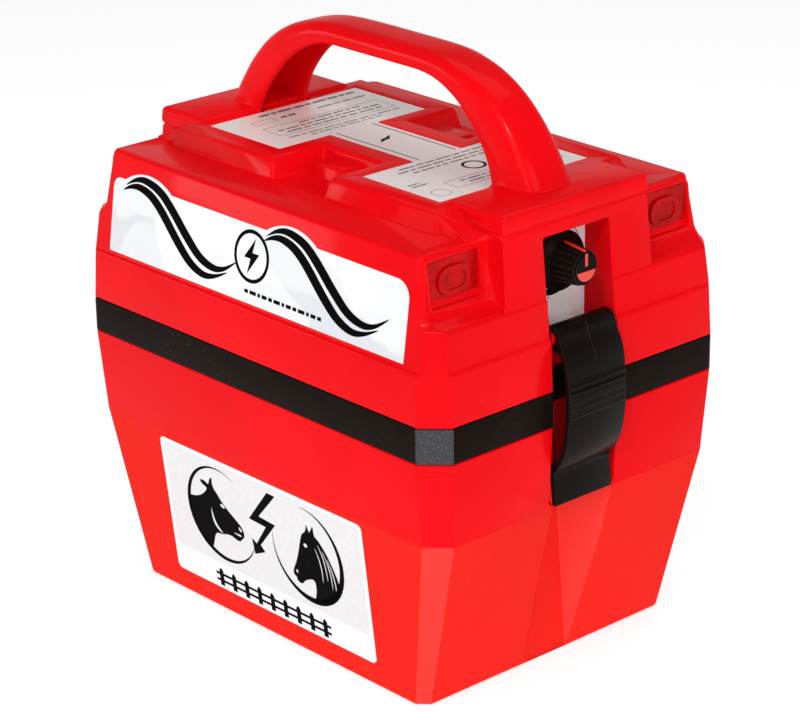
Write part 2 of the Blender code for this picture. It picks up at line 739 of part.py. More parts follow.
def latch_outline():
    """Side view of the latch about its pivot: hinge clip, bowed strap, hook, pull tab."""
    strap = catmull_rom(STRAP_LINE, 3)
    tab = catmull_rom(TAB_LINE, 3)
    half, tab_half = LATCH_THICK / 2, LATCH_THICK * 0.425
    outer = offset_line(strap, half)[1:-1] + offset_line(tab, tab_half)[1:]
    inner = offset_line(tab, -tab_half)[1:][::-1] + offset_line(strap, -half)[1:-1][::-1]
    hook_x = STRAP_LINE[-1][0] - 0.0045
    below_hook = [point for point in inner if point[1] < -0.0655]
    above_hook = [point for point in inner if -0.0612 < point[1] < -0.0062]
    mouth, seat = -78, 152   # angles at which the clip's socket starts and ends
    lip = arc((0, 0), 0.0050, mouth, mouth, 1)[:1]
    socket = arc((0, 0), CLIP_INNER_R, mouth, seat, 18)
    curl = arc((0, 0), CLIP_OUTER_R, seat, 6, 12)
    hook = [(hook_x, -0.0640), (hook_x, -0.0622)]
    return outer + below_hook + hook + above_hook + lip + socket + curl


def build_latch(name, end):
    outline = [(end * (PIVOT_X + u), PIVOT_Z + v) for u, v in latch_outline()]
    latch = extruded(name, outline, -LATCH_HALF_Y, LATCH_HALF_Y, BLACK)
    for i, level in enumerate(RIB_LEVELS):
        x = end * (PIVOT_X + 0.0110 + LATCH_THICK / 2 - 0.0003)
        rib = rod(f"{name}_rib_{i}", (x, -LATCH_HALF_Y + 0.0008, PIVOT_Z + level),
                  (x, LATCH_HALF_Y - 0.0008, PIVOT_Z + level), 0.0010, sides=10)
        join(latch, rib)
    return set_origin(latch, (end * PIVOT_X, 0, PIVOT_Z))


# ---------------------------------------------------------------- knob and control
FLUTES = 18


def build_knob():
    recess_depth, length = 0.0030, KNOB_TIP_X - KNOB_BACK_X
    profile = [
        (0.0, length - 0.0012), (0.0066, length - 0.0012), (0.0066, length - 0.0008), 
        (0.0072, length - 0.0002), (0.0078, length - 0.0008), (0.0080, length - 0.0022),
        (0.0091, 0.0048), (0.0100, 0.0036), (0.0136, 0.0030),
        (KNOB_SKIRT_R, 0.0024), (KNOB_SKIRT_R, 0.0004), (0.0136, 0.0),
        (0.0064, 0.0), (0.0064, recess_depth), (SHAFT_R + GAP, recess_depth),
        (SHAFT_R + GAP, length - 0.0040), (0.0, length - 0.0040),
    ]
    knob = turned("power_knob", profile, BLACK, (KNOB_BACK_X, 0, KNOB_Z), axis="X", steps=54)
    for i in range(FLUTES):
        angle = 2 * math.pi * (i + 0.5) / FLUTES
        y, z = math.cos(angle), math.sin(angle)
        foot = (KNOB_BACK_X + 0.0040, 0.0100 * y, KNOB_Z + 0.0100 * z)
        tip = (KNOB_TIP_X + 0.0010, 0.0086 * y, KNOB_Z + 0.0086 * z)
        cut(knob, rod(f"flute_{i}", foot, tip, 0.0006, sides=6))
    smooth(knob)
    cap = rod("knob_pointer_cap", (KNOB_TIP_X - 0.0012 + GAP, 0, KNOB_Z),
              (KNOB_TIP_X + 0.0002, 0, KNOB_Z), 0.0062, RED_INSERT, sides=32)
    set_origin(cap, (KNOB_TIP_X, 0, KNOB_Z))
    shaft = rod("control_shaft", (0.0945, 0, KNOB_Z), (KNOB_TIP_X - 0.0040 - GAP, 0, KNOB_Z),
                SHAFT_R, STEEL, sides=20)
    set_origin(shaft, (KNOB_BACK_X, 0, KNOB_Z))
    return [knob, cap, shaft]


def build_control():
    """The potentiometer behind the channel floor, with its washer, nut and dial label."""
    wall_back = CHANNEL_X - WALL
    face = CHANNEL_X + GAP + SHEET

    def on_axis(name, x_low, x_high, radius, look=None, sides=24):
        return rod(name, (x_low, 0, KNOB_Z), (x_high, 0, KNOB_Z), radius, look, sides)

    body = on_axis("potentiometer", 0.0900, wall_back - GAP, 0.0082, GREY, 32)
    join(body, on_axis("potentiometer_bush", wall_back - 0.0020, 0.1062, 0.0035))
    cut(body, on_axis("potentiometer_bore", 0.0942, 0.1100, SHAFT_R + 0.0001))
    washer = on_axis("control_washer", face + GAP, face + 0.0009, 0.0058, STEEL)
    cut(washer, on_axis("washer_hole", 0.100, 0.110, 0.0038))
    nut = on_axis("control_nut", face + 0.0012, face + 0.0028, 0.0055, STEEL, 6)
    cut(nut, on_axis("nut_hole", 0.100, 0.110, 0.0038))
    label = box("dial_label", (CHANNEL_X + GAP, -0.0198, 0.1735),
                (face, 0.0198, CHANNEL_TOP_Z - 0.0008), WHITE)
    cut(label, on_axis("dial_label_hole", 0.100, 0.110, 0.0042))
    return [body, washer, nut, label]


# ---------------------------------------------------------------- electronics
def build_tray():
    half_x, half_y = TRAY_HALF
    tray = tiers("electronics_tray", [(z, half_x, half_y, 0.006) for z in TRAY_Z], look=GREY)
    for i, (x, y) in enumerate(board_corners()):
        join(tray, rod(f"standoff_{i}", (x, y, TRAY_Z[1] - 0.0010), (x, y, BOARD_Z - GAP),
                       0.0032, sides=16))
        cut(tray, rod(f"standoff_pilot_{i}", (x, y, TRAY_Z[1] + 0.0004), (x, y, 0.190),
                      0.0015, sides=12))
    for i, (x, y) in enumerate(SCREW_POSTS):
        cut(tray, rod(f"tray_hole_{i}", (x, y, 0.170), (x, y, 0.182), 0.0019, sides=12))
    for side in FACE:
        cut(tray, rod(f"lead_hole_{side}", (LEAD_X, side * TERMINAL_Y, 0.170),
                      (LEAD_X, side * TERMINAL_Y, 0.182), 0.0022, sides=16))
    return tray


LEAD_X = -0.0180


def board_corners():
    inset = 0.0050
    along = (BOARD_X[0] + inset, BOARD_X[1] - inset)
    return [(x, side * (BOARD_HALF_Y - inset)) for x in along for side in FACE]


def screw(name, x, y, z, length, head_r, up):
    """A pan-head screw whose head seats at z; up is +1 when its tip points up."""
    head_top = z - up * 0.0018
    slot_half, slot_reach, slot_depth = 0.0004, head_r * 0.6, 0.0006
    head = rod(name, (x, y, min(z, head_top)), (x, y, max(z, head_top)), head_r, STEEL, sides=16)
    shank = rod(f"{name}_shank", (x, y, z - up * 0.0008), (x, y, z + up * length),
                SCREW_R * 0.85, sides=12)
    join(head, shank)
    for word, half_x, half_y in (("x", slot_reach, slot_half), ("y", slot_half, slot_reach)):
        cut(head, box(f"{name}_slot_{word}", (x - half_x, y - half_y, head_top - slot_depth),
                      (x + half_x, y + half_y, head_top + slot_depth)))
    return head


def build_fasteners():
    for i, (x, y) in enumerate(SCREW_POSTS):
        screw(f"tray_screw_{i + 1}", x, y, TRAY_Z[0] - GAP, 0.0125, 0.0032, 1)
    for i, (x, y) in enumerate(board_corners()):
        screw(f"board_screw_{i + 1}", x, y, BOARD_Z + BOARD_THICK + GAP, 0.0058, 0.0026, -1)


def build_board():
    top = BOARD_Z + BOARD_THICK
    board = box("circuit_board", (BOARD_X[0], -BOARD_HALF_Y, BOARD_Z),
                (BOARD_X[1], BOARD_HALF_Y, top), BOARD_GREEN)
    for i, (x, y) in enumerate(board_corners()):
        cut(board, rod(f"board_hole_{i}", (x, y, 0.180), (x, y, 0.190), 0.0018, sides=12))
    seat = top + GAP
    can_r = 0.0155
    capacitor = rod("storage_capacitor", (0.050, -0.024, seat + can_r),
                    (0.050, 0.024, seat + can_r), can_r, CAPACITOR, sides=32)
    bevel(capacitor, 0.0012)
    rod("filter_capacitor", (0.020, 0.036, seat), (0.020, 0.036, seat + 0.020), 0.0080, BLACK,
        sides=28)
    bevel(box("converter_transformer", (0.006, -0.012, seat), (0.026, 0.010, seat + 0.017), COPPER),
          0.0015)
    bevel(box("control_chip", (0.060, 0.031, seat), (0.0665, 0.041, seat + 0.0032), BLACK),
          0.0004, 1)
    box("discharge_thyristor", (0.0090, -0.0385, seat), (0.0190, -0.0341, seat + 0.0160), BLACK)
    heat_sink = box("heat_sink", (0.0040, -0.0338, seat), (0.0240, -0.0320, seat + 0.0210), ALUMINIUM)
    for i, offset in enumerate((0.0045, 0.0095, 0.0145, 0.0185)):
        x = 0.0040 + offset
        join(heat_sink, box(f"heat_sink_fin_{i}", (x, -0.0325, seat),
                            (x + 0.0012, -0.0235, seat + 0.0210)))
    return board


def build_transformer():
    """The pulse transformer: a laminated frame with one potted winding."""
    low, high = TRAY_Z[1] + GAP, TRAY_Z[1] + GAP + 0.0400
    core = box("transformer_core", (-0.0780, -0.0200, low), (-0.0300, 0.0200, high), STEEL)
    yoke = 0.0080
    for i, x in enumerate((-0.0701, -0.0451)):
        cut(core, box(f"core_window_{i}", (x, -0.0300, low + yoke), (x + 0.0072, 0.0300, high - yoke)))
    bevel(core, 0.0006, 1)
    winding = box("transformer_winding", (-0.0696, -0.0300, low + yoke + GAP),
                  (-0.0384, 0.0300, high - yoke - GAP), COPPER)
    cut(winding, box("winding_window", (-0.0632, -0.0204, low), (-0.0447, 0.0204, high)))
    bevel(winding, 0.0015)
    return core


def oval_at(side, half_y, half_z, radius):
    """An oval outline centred on a lead outlet."""
    oval = rounded_rectangle(half_y, half_z, radius, 6)
    return [(side * PAD_Y + u, PAD_Z + v) for u, v in oval]


def build_outlets():
    """Lead outlets in the +X pads, with the output terminals inside."""
    for side, word, look in ((-1, "fence", WIRE_RED), (1, "earth", WIRE_BLACK)):
        face_x = pad_face_x(PAD_Z) - 0.0014
        flange_line = oval_at(side, 0.0092, 0.0064, 0.0063)
        neck_line = oval_at(side, 0.0064, 0.0038, 0.00375)
        dish_line = oval_at(side, 0.0068, 0.0042, 0.0041)
        outlet = extruded(f"{word}_outlet", flange_line, face_x + 0.0006, face_x + 0.0018, RED,
                          axis="X")
        join(outlet, extruded(f"{word}_outlet_neck", neck_line, face_x - 0.0030, face_x + 0.0010,
                              axis="X"))
        cut(outlet, extruded(f"{word}_outlet_dish", dish_line, face_x + 0.0011, face_x + 0.0060,
                             axis="X"))
        block_y = side * (PAD_Y - 0.0080)
        block = box(f"{word}_terminal", (0.0825, block_y - 0.0050, TRAY_Z[1] + GAP),
                    (0.0925, block_y + 0.0050, TRAY_Z[1] + 0.0120), BRASS)
        bevel(block, 0.0005, 1)
        route = [(-0.0380 + GAP, side * 0.0240, 0.1995), (-0.0250, side * 0.0300, 0.2010),
                 (0.0000, side * 0.0560, 0.2040), (0.0400, side * 0.0620, 0.2060),
                 (0.0720, block_y, 0.2000), (0.0850, block_y, 0.1970),
                 (0.0875, block_y, 0.1935), (0.0875, block_y, 0.1913)]
        wire(f"{word}_wire", route, 0.0014, look)


def build_battery_leads():
    top = BATTERY_Z + BATTERY[2]
    for side, word, look in ((1, "positive", WIRE_RED), (-1, "negative", WIRE_BLACK)):
        y = side * TERMINAL_Y
        clip_r = 0.0058
        clip = rod(f"battery_clip_{word}", (TERMINAL_X, y, top + 0.0019),
                   (TERMINAL_X, y, top + 0.0080), clip_r, look)
        cut(clip, rod(f"clip_socket_{word}", (TERMINAL_X, y, top - 0.001),
                      (TERMINAL_X, y, top + 0.0062), 0.0040))
        route = [(LEAD_X, y, 0.1826), (LEAD_X, y, 0.1790), (LEAD_X + 0.0008, y, 0.1750),
                 (LEAD_X + 0.0060, y, 0.1716), (LEAD_X + 0.0200, y, 0.1700),
                 (LEAD_X + 0.0450, y, 0.1690), (TERMINAL_X - clip_r - GAP, y, 0.1695)]
        wire(f"battery_lead_{word}", route, 0.0015, look)


def build_control_ribbon():
    """The flat lead from the potentiometer down to the board."""
    line = [(0.0893, 0.1935), (0.0868, 0.1934), (0.0852, 0.1916), (0.0840, 0.1888),
            (0.0820, 0.1872), (0.0775, 0.1867), (0.0720, 0.1867)]
    centre = catmull_rom(line, 3)
    half_thick, half_wide = 0.0004, 0.0045
    outline = offset_line(centre, half_thick) + offset_line(centre, -half_thick)[::-1]
    return extruded("control_ribbon", outline, -half_wide, half_wide, GREY)


# ---------------------------------------------------------------- assembly
def parent_group(name, location, names):
    """An empty at a joint's place, with the named pieces as its children."""
    empty = bpy.data.objects.new(name, None)
    empty.location = location
    PARTS.objects.link(empty)
    bpy.context.view_layer.update()
    for piece in names:
        obj = bpy.data.objects[piece]
        obj.parent = empty
        obj.matrix_parent_inverse = empty.matrix_world.inverted()
    return empty


def main():
    build_tub()
    build_band()
    build_battery()
    build_housing()
    build_labels()
    build_top_label()
    build_latch("latch_right", 1)
    build_latch("latch_left", -1)
    build_knob()
    build_control()
    build_tray()
    build_fasteners()
    build_board()
    build_transformer()
    build_outlets()
    build_battery_leads()
    build_control_ribbon()
    parent_group("knob_axis", (KNOB_BACK_X, 0, KNOB_Z),
                 ["power_knob", "knob_pointer_cap", "control_shaft"])


main()
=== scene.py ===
"""Fence energizer: the finished looks of a battery energizer for electric fences.

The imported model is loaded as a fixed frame.  Each operator below makes one piece, or one
group of like pieces, in place in that frame.
"""

import math

import bmesh
import bpy
from bpy.props import FloatProperty, FloatVectorProperty, IntProperty, PointerProperty
from mathutils import Matrix, Vector


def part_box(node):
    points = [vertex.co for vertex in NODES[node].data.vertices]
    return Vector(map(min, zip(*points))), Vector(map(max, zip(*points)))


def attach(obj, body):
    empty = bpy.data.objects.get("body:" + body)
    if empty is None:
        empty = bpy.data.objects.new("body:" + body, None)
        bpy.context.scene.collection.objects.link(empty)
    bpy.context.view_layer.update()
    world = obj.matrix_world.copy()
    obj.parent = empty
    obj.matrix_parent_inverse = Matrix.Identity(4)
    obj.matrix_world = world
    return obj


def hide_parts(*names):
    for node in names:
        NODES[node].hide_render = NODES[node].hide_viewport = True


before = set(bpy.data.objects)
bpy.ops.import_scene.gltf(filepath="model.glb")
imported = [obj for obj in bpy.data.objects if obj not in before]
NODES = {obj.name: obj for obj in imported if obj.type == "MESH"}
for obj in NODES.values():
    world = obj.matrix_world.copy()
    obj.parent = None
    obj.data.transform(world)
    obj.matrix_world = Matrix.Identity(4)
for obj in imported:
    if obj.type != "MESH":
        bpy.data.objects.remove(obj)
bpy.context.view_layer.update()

bl_info = {
    "name": "Fence Energizer",
    "version": (1, 0, 0),
    "blender": (4, 5, 0),
    "location": "View3D > Sidebar > Energizer",
    "description": "Builds a battery energizer for electric fences around its packed frame",
    "category": "Add Mesh",
}

MM = 0.001
SIDES = {"front": 1, "back": -1}

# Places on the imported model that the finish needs, in metres.
FOOT_Z, FOOT_HALF_Y = 0.0012, 0.0790
CREASE_Z, CREASE_HALF_Y = 0.0873, 0.0891
TIER_Z, TIER_HALF_Y, TIER_LEAN = 0.1696, 0.0901, 0.1402
ROOF_UNDER_Z, DECK_Z, PLATEAU_Z = 0.2155, 0.2160, 0.2170
WALL = 0.0018
KNOB_Z = 0.1970
# Round the band's cut corners, where a pale sheen is painted, x and y counted from the centre add
# up to more than this.
BAND_CORNER = 0.2059
PAD_Y, PAD_Z = 0.0655, 0.2048
PAD_FACE_X, PAD_POCKET_X, PAD_LEAN = 0.10949, 0.1082, 0.1387

# The model's labels stand this far off their walls.
LABEL_GAP = 0.0003
# The printed sheets lie closer, and a mark just off its sheet.
SHEET_GAP, PRINT_GAP = 0.00004, 0.00001


# ------------------------------------------------------------------------ settings
def colour(label, text, default):
    return FloatVectorProperty(name=label, description=text, default=default, size=3,
                               subtype="COLOR", min=0.0, max=1.0)


def length(label, text, default):
    return FloatProperty(name=label, description=text, default=default, unit="LENGTH", min=0.0)


def watts(label, text, default):
    return FloatProperty(name=label, description=text, default=default, unit="POWER", min=0.0)


def strength(label, text, default):
    return FloatProperty(name=label, description=text, default=default, min=0.0)


def bearing(label, text, degrees):
    return FloatProperty(name=label, description=text, default=math.radians(degrees),
                         unit="ROTATION")


class EnergizerSizes(bpy.types.PropertyGroup):
    """Sizes of the finish: rounded edges, printed sheets and ink."""

    shell_edge: length("Shell edge", "Rounding of the moulded shells' edges", 0.0016)
    fine_edge: length("Fine edge", "Rounding of small moulded details", 0.00035)
    film: length("Label film", "Thickness of a printed label", 0.00022)
    ink: length("Ink", "Thickness of a printed mark", 0.00003)
    ring_radius: length("Ring", "Radius of the rings round the animal heads", 0.0250)
    rib_count: IntProperty(name="Cap ribs", description="Raised ribs on the battery's cap",
                           default=7, min=1, max=12)


class EnergizerColours(bpy.types.PropertyGroup):
    """Colours of the finishes."""

    red: colour("Red", "Glossy moulded red of the shells", (0.88, 0.0020, 0.0060))
    red_matt: colour("Matt red", "Textured red of the tub's tapered foot", (0.88, 0.020, 0.013))
    black: colour("Black", "Moulded black of the latches and knob", (0.0065, 0.0042, 0.0034))
    band: colour("Band", "Rubber of the band between tub and power unit", (0.0070, 0.0038, 0.0026))
    paper: colour("Label white", "White of the printed labels", (0.90, 0.91, 0.92))
    paper_grey: colour("Label grey", "Pale grey of the printed labels", (0.70, 0.72, 0.76))
    ink: colour("Ink", "Black of the printed marks", (0.0030, 0.0030, 0.0034))
    pointer: colour("Pointer", "Red of the knob's pointer", (0.80, 0.030, 0.012))
    wrap: colour("Battery wrap", "Blue of the battery's printed wrap", (0.030, 0.110, 0.300))
    board: colour("Board", "Solder mask of the circuit board", (0.008, 0.110, 0.040))


class EnergizerStage(bpy.types.PropertyGroup):
    """The floor, the lights and the camera."""

    floor: colour("Floor", "Colour of the plain floor", (0.80, 0.80, 0.80))
    key_power: watts("Key light", "Power of the main soft light", 5.2)
    side_power: watts("Side light", "Power of the soft light at the knob end", 4.5)
    top_power: watts("Top light", "Power of the overhead soft light", 3.7)
    strip_power: watts("Strip light", "Power of the low strip light at the far end", 3.2)
    glint_power: watts("Glint light", "Power of the small light that picks out edges", 4.5)
    sky: strength("Sky", "Strength of the surrounding light overhead", 0.20)
    horizon: strength("Horizon", "Strength of the surrounding light near the floor", 0.74)
    floor_glow: strength("Floor glow", "Light given off by the floor itself", 0.60)
    camera_place: FloatVectorProperty(name="Camera", description="Where the camera stands",
                                      default=(0.98390, -0.88344, 0.63828), subtype="XYZ",
                                      unit="LENGTH")
    azimuth: bearing("Azimuth", "Direction the camera looks from", 48.04)
    elevation: bearing("Elevation", "Camera's height above the horizon", 21.44)
    roll: bearing("Roll", "Camera's turn about its own line of sight", 0.76)
    lens: FloatProperty(name="Lens", description="Focal length in millimetres", default=134.2,
                        min=1.0)


def sizes():
    return bpy.context.scene.energizer_sizes


def colours():
    return bpy.context.scene.energizer_colours


def rgba(value, scale=1.0):
    return (value[0] * scale, value[1] * scale, value[2] * scale, 1.0)


# ------------------------------------------------------------------------ shader tools
class Value:
    """A shader socket that takes part in Python sums; each sum adds its Math node."""

    def __init__(self, paint, socket):
        self.paint = paint
        self.socket = socket

    def _sum(self, operation, first, second=None):
        values = {0: first}
        if second is not None:
            values[1] = second
        return self.paint.node("ShaderNodeMath", {"operation": operation}, values)

    def __add__(self, other):
        return self._sum("ADD", self, other)

    def __sub__(self, other):
        return self._sum("SUBTRACT", self, other)

    def __rsub__(self, other):
        return self._sum("SUBTRACT", other, self)

    def __mul__(self, other):
        return self._sum("MULTIPLY", self, other)

    def __pow__(self, other):
        return self._sum("POWER", self, other)

    def __abs__(self):
        return self._sum("ABSOLUTE", self)

    __radd__ = __add__
    __rmul__ = __mul__

    def most(self, other):
        return self._sum("MAXIMUM", self, other)

    def fraction(self):
        return self._sum("FRACT", self)

    def wave(self):
        return self._sum("SINE", self)

    def between(self, low, high, from_value=0.0, to_value=1.0):
        """This value's way from low to high, as a smooth step from one value to another."""
        return self.paint.node("ShaderNodeMapRange", {"interpolation_type": "SMOOTHSTEP"},
                               {0: self, 1: low, 2: high, 3: from_value, 4: to_value})

    def above(self, level, blur):
        """1 above a level and 0 below it."""
        return self.between(level - blur, level + blur)

    def below(self, level, blur):
        """1 below a level and 0 above it."""
        return self.between(level - blur, level + blur, 1.0, 0.0)

    def within(self, low, high, blur):
        """1 between two levels and 0 outside them, blurred at both."""
        return self.above(low, blur) * self.below(high, blur)


class Paint:
    """One material, or another block that has nodes.  Every node is added through node()."""

    def __init__(self, name, block=None):
        self.material = block or bpy.data.materials.new(name)
        self.material.use_nodes = True
        self.tree = self.material.node_tree
        self.tree.nodes.clear()
        self._place = None

    def node(self, kind, settings=None, values=None, out=0):
        """A node with its settings, its sockets' values or links, and the output wanted."""
        made = self.tree.nodes.new(kind)
        for key, setting in (settings or {}).items():
            setattr(made, key, setting)
        for key, value in (values or {}).items():
            if isinstance(value, Value):
                self.tree.links.new(value.socket, made.inputs[key])
            else:
                made.inputs[key].default_value = value
        return Value(self, made.outputs[out]) if made.outputs else made

    def place(self):
        if self._place is None:
            self._place = self.node("ShaderNodeTexCoord", out="Object")
        return self._place

    def scaled(self, scale, turn=(0.0, 0.0, 0.0)):
        return self.node("ShaderNodeMapping", None,
                         {"Vector": self.place(), "Rotation": turn, "Scale": scale})

    def part(self, vector, name):
        return self.node("ShaderNodeSeparateXYZ", None, {0: vector}, out=name)

    def axis(self, name):
        return self.part(self.place(), name)

    def noise(self, scale, detail=2.0, roughness=0.5, where=None, distortion=0.0):
        return self.node("ShaderNodeTexNoise", None,
                         {"Vector": where or self.place(), "Scale": scale, "Detail": detail,
                          "Roughness": roughness, "Distortion": distortion})

    def cells(self, scale, where=None, out="Distance"):
        return self.node("ShaderNodeTexVoronoi", None,
                         {"Vector": where or self.place(), "Scale": scale}, out=out)

    def mix(self, share, first, second):
        """The first colour going over to the second as the share goes from 0 to 1."""
        return self.node("ShaderNodeMix", {"data_type": "RGBA"},
                         {0: share, 6: first, 7: second}, out=2)

    def bump(self, height, strength, distance, under=None):
        values = {"Height": height, "Strength": strength, "Distance": distance}
        if under is not None:
            values["Normal"] = under
        return self.node("ShaderNodeBump", None, values)

    def edges(self, radius):
        """1 along sharp outer edges, falling to 0 away from them."""
        rounded = self.node("ShaderNodeBevel", {"samples": 4}, {"Radius": radius})
        flat = self.node("ShaderNodeNewGeometry", out="Normal")
        same = self.node("ShaderNodeVectorMath", {"operation": "DOT_PRODUCT"},
                         {0: rounded, 1: flat}, out="Value")
        return (1.0 - same).between(0.02, 0.30)

    def finish(self, **sockets):
        """The Principled shader, with its sockets named in words joined by underscores."""
        values = {key.replace("_", " "): value for key, value in sockets.items()}
        shader = self.node("ShaderNodeBsdfPrincipled", None, values)
        self.node("ShaderNodeOutputMaterial", None, {"Surface": shader})
        return self.material


MADE = {}


def finish_named(name):
    """The material of that name, painted the first time it is asked for."""
    if name not in MADE:
        MADE[name] = FINISHES[name](Paint(name))
    return MADE[name]


POLISHED = {"Coat_Roughness": 0.09, "Coat_IOR": 1.40, "Specular_IOR_Level": 0.03, "IOR": 1.36}


def moulded(paint, base, roughness, grain=1.0, gloss=0.12, worn=(1.0, 0.07, 0.045)):
    """Injection-moulded plastic: orange peel, fine scratches, soft flow marks, and lighter edges
    that are partly edge wear and partly a painted highlight.
    """
    flow = paint.noise(9.0, 3.0, 0.55, distortion=0.6)
    patches = paint.noise(46.0, 4.0, 0.6)
    peel = paint.noise(950.0, 2.0, 0.5)
    pits = paint.noise(3200.0, 1.0)
    scratch_a = paint.noise(60.0, 3.0, 0.6, paint.scaled((1.0, 34.0, 26.0), turn=(0.3, 0.5, 0.2)))
    scratch_b = paint.noise(70.0, 3.0, 0.6, paint.scaled((30.0, 1.0, 22.0), turn=(0.1, 0.3, 0.9)))
    scratches = scratch_a.between(0.67, 0.74).most(scratch_b.between(0.69, 0.76))
    rub = scratches * patches.between(0.42, 0.62)
    # Lighter edges: partly edge wear, partly a painted highlight along the edges.
    edge = paint.edges(0.0009) * patches.between(0.30, 0.65, 0.15, 0.8)
    shade = paint.mix(flow.between(0.35, 0.70), rgba(base, 0.90), rgba(base, 1.05))
    shade = paint.mix(edge * 0.30, shade, (*worn, 1.0))
    # Here only the colour of rubbed scratches.
    rubbed_and_sheen = (0.90, 0.14, 0.10, 1.0) if base[0] > 0.3 else (0.20, 0.19, 0.18, 1.0)
    shade = paint.mix(rub * 0.05, shade, rubbed_and_sheen)
    rough = roughness + (patches - 0.5) * 0.10 + rub * 0.10 + (flow - 0.5) * 0.06
    skin = paint.bump(peel, 0.055 * grain, 0.0006)
    skin = paint.bump(pits, 0.050 * grain, 0.0003, skin)
    skin = paint.bump(scratches, -0.035, 0.0001, skin)
    return paint.finish(Base_Color=shade, Roughness=rough, Normal=skin, Coat_Weight=gloss,
                        **POLISHED)


def paint_shell_red(paint):
    return moulded(paint, colours().red, 0.34)


def paint_tub_red(paint):
    """The tub's red: glossy above the crease, textured and lighter below it, with painted light on
    the foot's corner facets.
    """
    tint = colours()
    height = paint.axis("Z")
    foot = height.below(CREASE_Z - 0.0001, 0.0004)
    flow = paint.noise(9.0, 3.0, 0.55, distortion=0.6)
    patches = paint.noise(46.0, 4.0, 0.6)
    peel = paint.noise(950.0, 2.0, 0.5)
    texture = paint.noise(1700.0, 3.0, 0.7)
    scratch = paint.noise(60.0, 3.0, 0.6, paint.scaled((2.0, 30.0, 24.0), turn=(0.3, 0.5, 0.2)))
    scratches = scratch.between(0.67, 0.74) * patches.between(0.40, 0.62)
    # The foot's cut corner facets, found by the way they face, are painted lighter: painted light.
    facing = paint.node("ShaderNodeTexCoord", out="Normal")
    painted_light_facet = abs(paint.part(facing, "X") * paint.part(facing, "Y")).between(0.30, 0.42) * foot
    scuffs = paint.noise(150.0, 5.0, 0.7).between(0.56, 0.72) * height.between(0.0, 0.018, 1.0, 0.0)
    # Lighter edges: partly edge wear, partly a painted highlight along the edges.
    edge = paint.edges(0.0009) * patches.between(0.30, 0.65, 0.15, 0.8)
    glossy = paint.mix(flow.between(0.35, 0.70), rgba(tint.red, 0.90), rgba(tint.red, 1.05))
    matt = paint.mix(texture.between(0.30, 0.70), rgba(tint.red_matt, 0.88),
                     rgba(tint.red_matt, 1.06))
    shade = paint.mix(foot, glossy, matt)
    # Painted light: a lighter orange red on the foot's corner facets.
    shade = paint.mix(painted_light_facet * 0.75, shade, (0.98, 0.060, 0.050, 1.0))
    # Painted edge highlight, mixed with edge wear.
    shade = paint.mix(edge * 0.30, shade, (1.0, 0.07, 0.045, 1.0))
    shade = paint.mix(scratches * 0.05 + scuffs * 0.14, shade, (0.88, 0.20, 0.15, 1.0))
    rough = 0.34 + foot * 0.20 + (patches - 0.5) * 0.10 + scratches * 0.10 + scuffs * 0.15
    skin = paint.bump(peel, 0.055, 0.0006)
    skin = paint.bump(texture * foot, 0.30, 0.0005, skin)
    skin = paint.bump(scratches, -0.035, 0.0001, skin)
    return paint.finish(Base_Color=shade, Roughness=rough, Normal=skin,
                        Coat_Weight=0.13 * (1.0 - foot), **POLISHED)


def paint_window_red(paint):
    """Deep red, slightly clear plastic of the lead outlets' windows, with moulded waves."""
    depth = paint.noise(70.0, 3.0, 0.6)
    wave = paint.noise(420.0, 2.0, 0.5, paint.scaled((1.0, 1.0, 2.4)))
    edge = paint.edges(0.0004)
    shade = paint.mix(depth.between(0.35, 0.65), (0.36, 0.0012, 0.002, 1.0),
                      (0.56, 0.002, 0.004, 1.0))
    shade = paint.mix(edge * 0.5, shade, (0.75, 0.02, 0.015, 1.0))
    skin = paint.bump(wave, 0.30, 0.0004)
    return paint.finish(Base_Color=shade, Roughness=0.20 + depth * 0.12, Normal=skin,
                        Coat_Weight=0.05, Coat_Roughness=0.06, Specular_IOR_Level=0.07, IOR=1.40)


def paint_latch_black(paint):
    return moulded(paint, colours().black, 0.32, 1.3, 0.13, (0.30, 0.28, 0.27))


def paint_knob_black(paint):
    return moulded(paint, colours().black, 0.42, 1.8, 0.05, (0.26, 0.25, 0.24))


def paint_band_rubber(paint):
    """Extruded rubber: long draw lines, dull bloom, a few pale specks of dust, and a painted pale
    sheen with specks on the cut corners.
    """
    draw = paint.noise(30.0, 3.0, 0.6, paint.scaled((0.6, 0.6, 60.0)))
    bloom = paint.noise(38.0, 4.0, 0.6)
    specks = paint.cells(420.0).between(0.06, 0.12, 1.0, 0.0) * bloom.between(0.50, 0.66)
    grain = paint.noise(1500.0, 3.0, 0.7)
    corner = (abs(paint.axis("X")) + abs(paint.axis("Y"))).above(BAND_CORNER, 0.0003)
    base = colours().band
    shade = paint.mix(bloom.between(0.35, 0.70), rgba(base), rgba(base, 1.5))
    # Painted sheen: the cut corners turn a pale grainy grey.
    rubbed_and_sheen = corner * (0.45 + grain.between(0.30, 0.75) * 0.55)
    shade = paint.mix(rubbed_and_sheen, shade, (0.085, 0.085, 0.092, 1.0))
    # Pale specks on the cut corners, part of the same painted sheen.
    corner_sheen_specks = paint.cells(900.0).between(0.10, 0.16, 1.0, 0.0) * corner
    shade = paint.mix((specks * 0.35).most(corner_sheen_specks * 0.6), shade, (0.45, 0.44, 0.43, 1.0))
    rough = 0.44 + (bloom - 0.5) * 0.20 + (draw - 0.5) * 0.10
    skin = paint.bump(grain, 0.20, 0.0004)
    skin = paint.bump(draw, 0.16, 0.0006, skin)
    return paint.finish(Base_Color=shade, Roughness=rough, Normal=skin, Coat_Weight=0.02,
                        Coat_Roughness=0.30, Specular_IOR_Level=0.04, IOR=1.36)


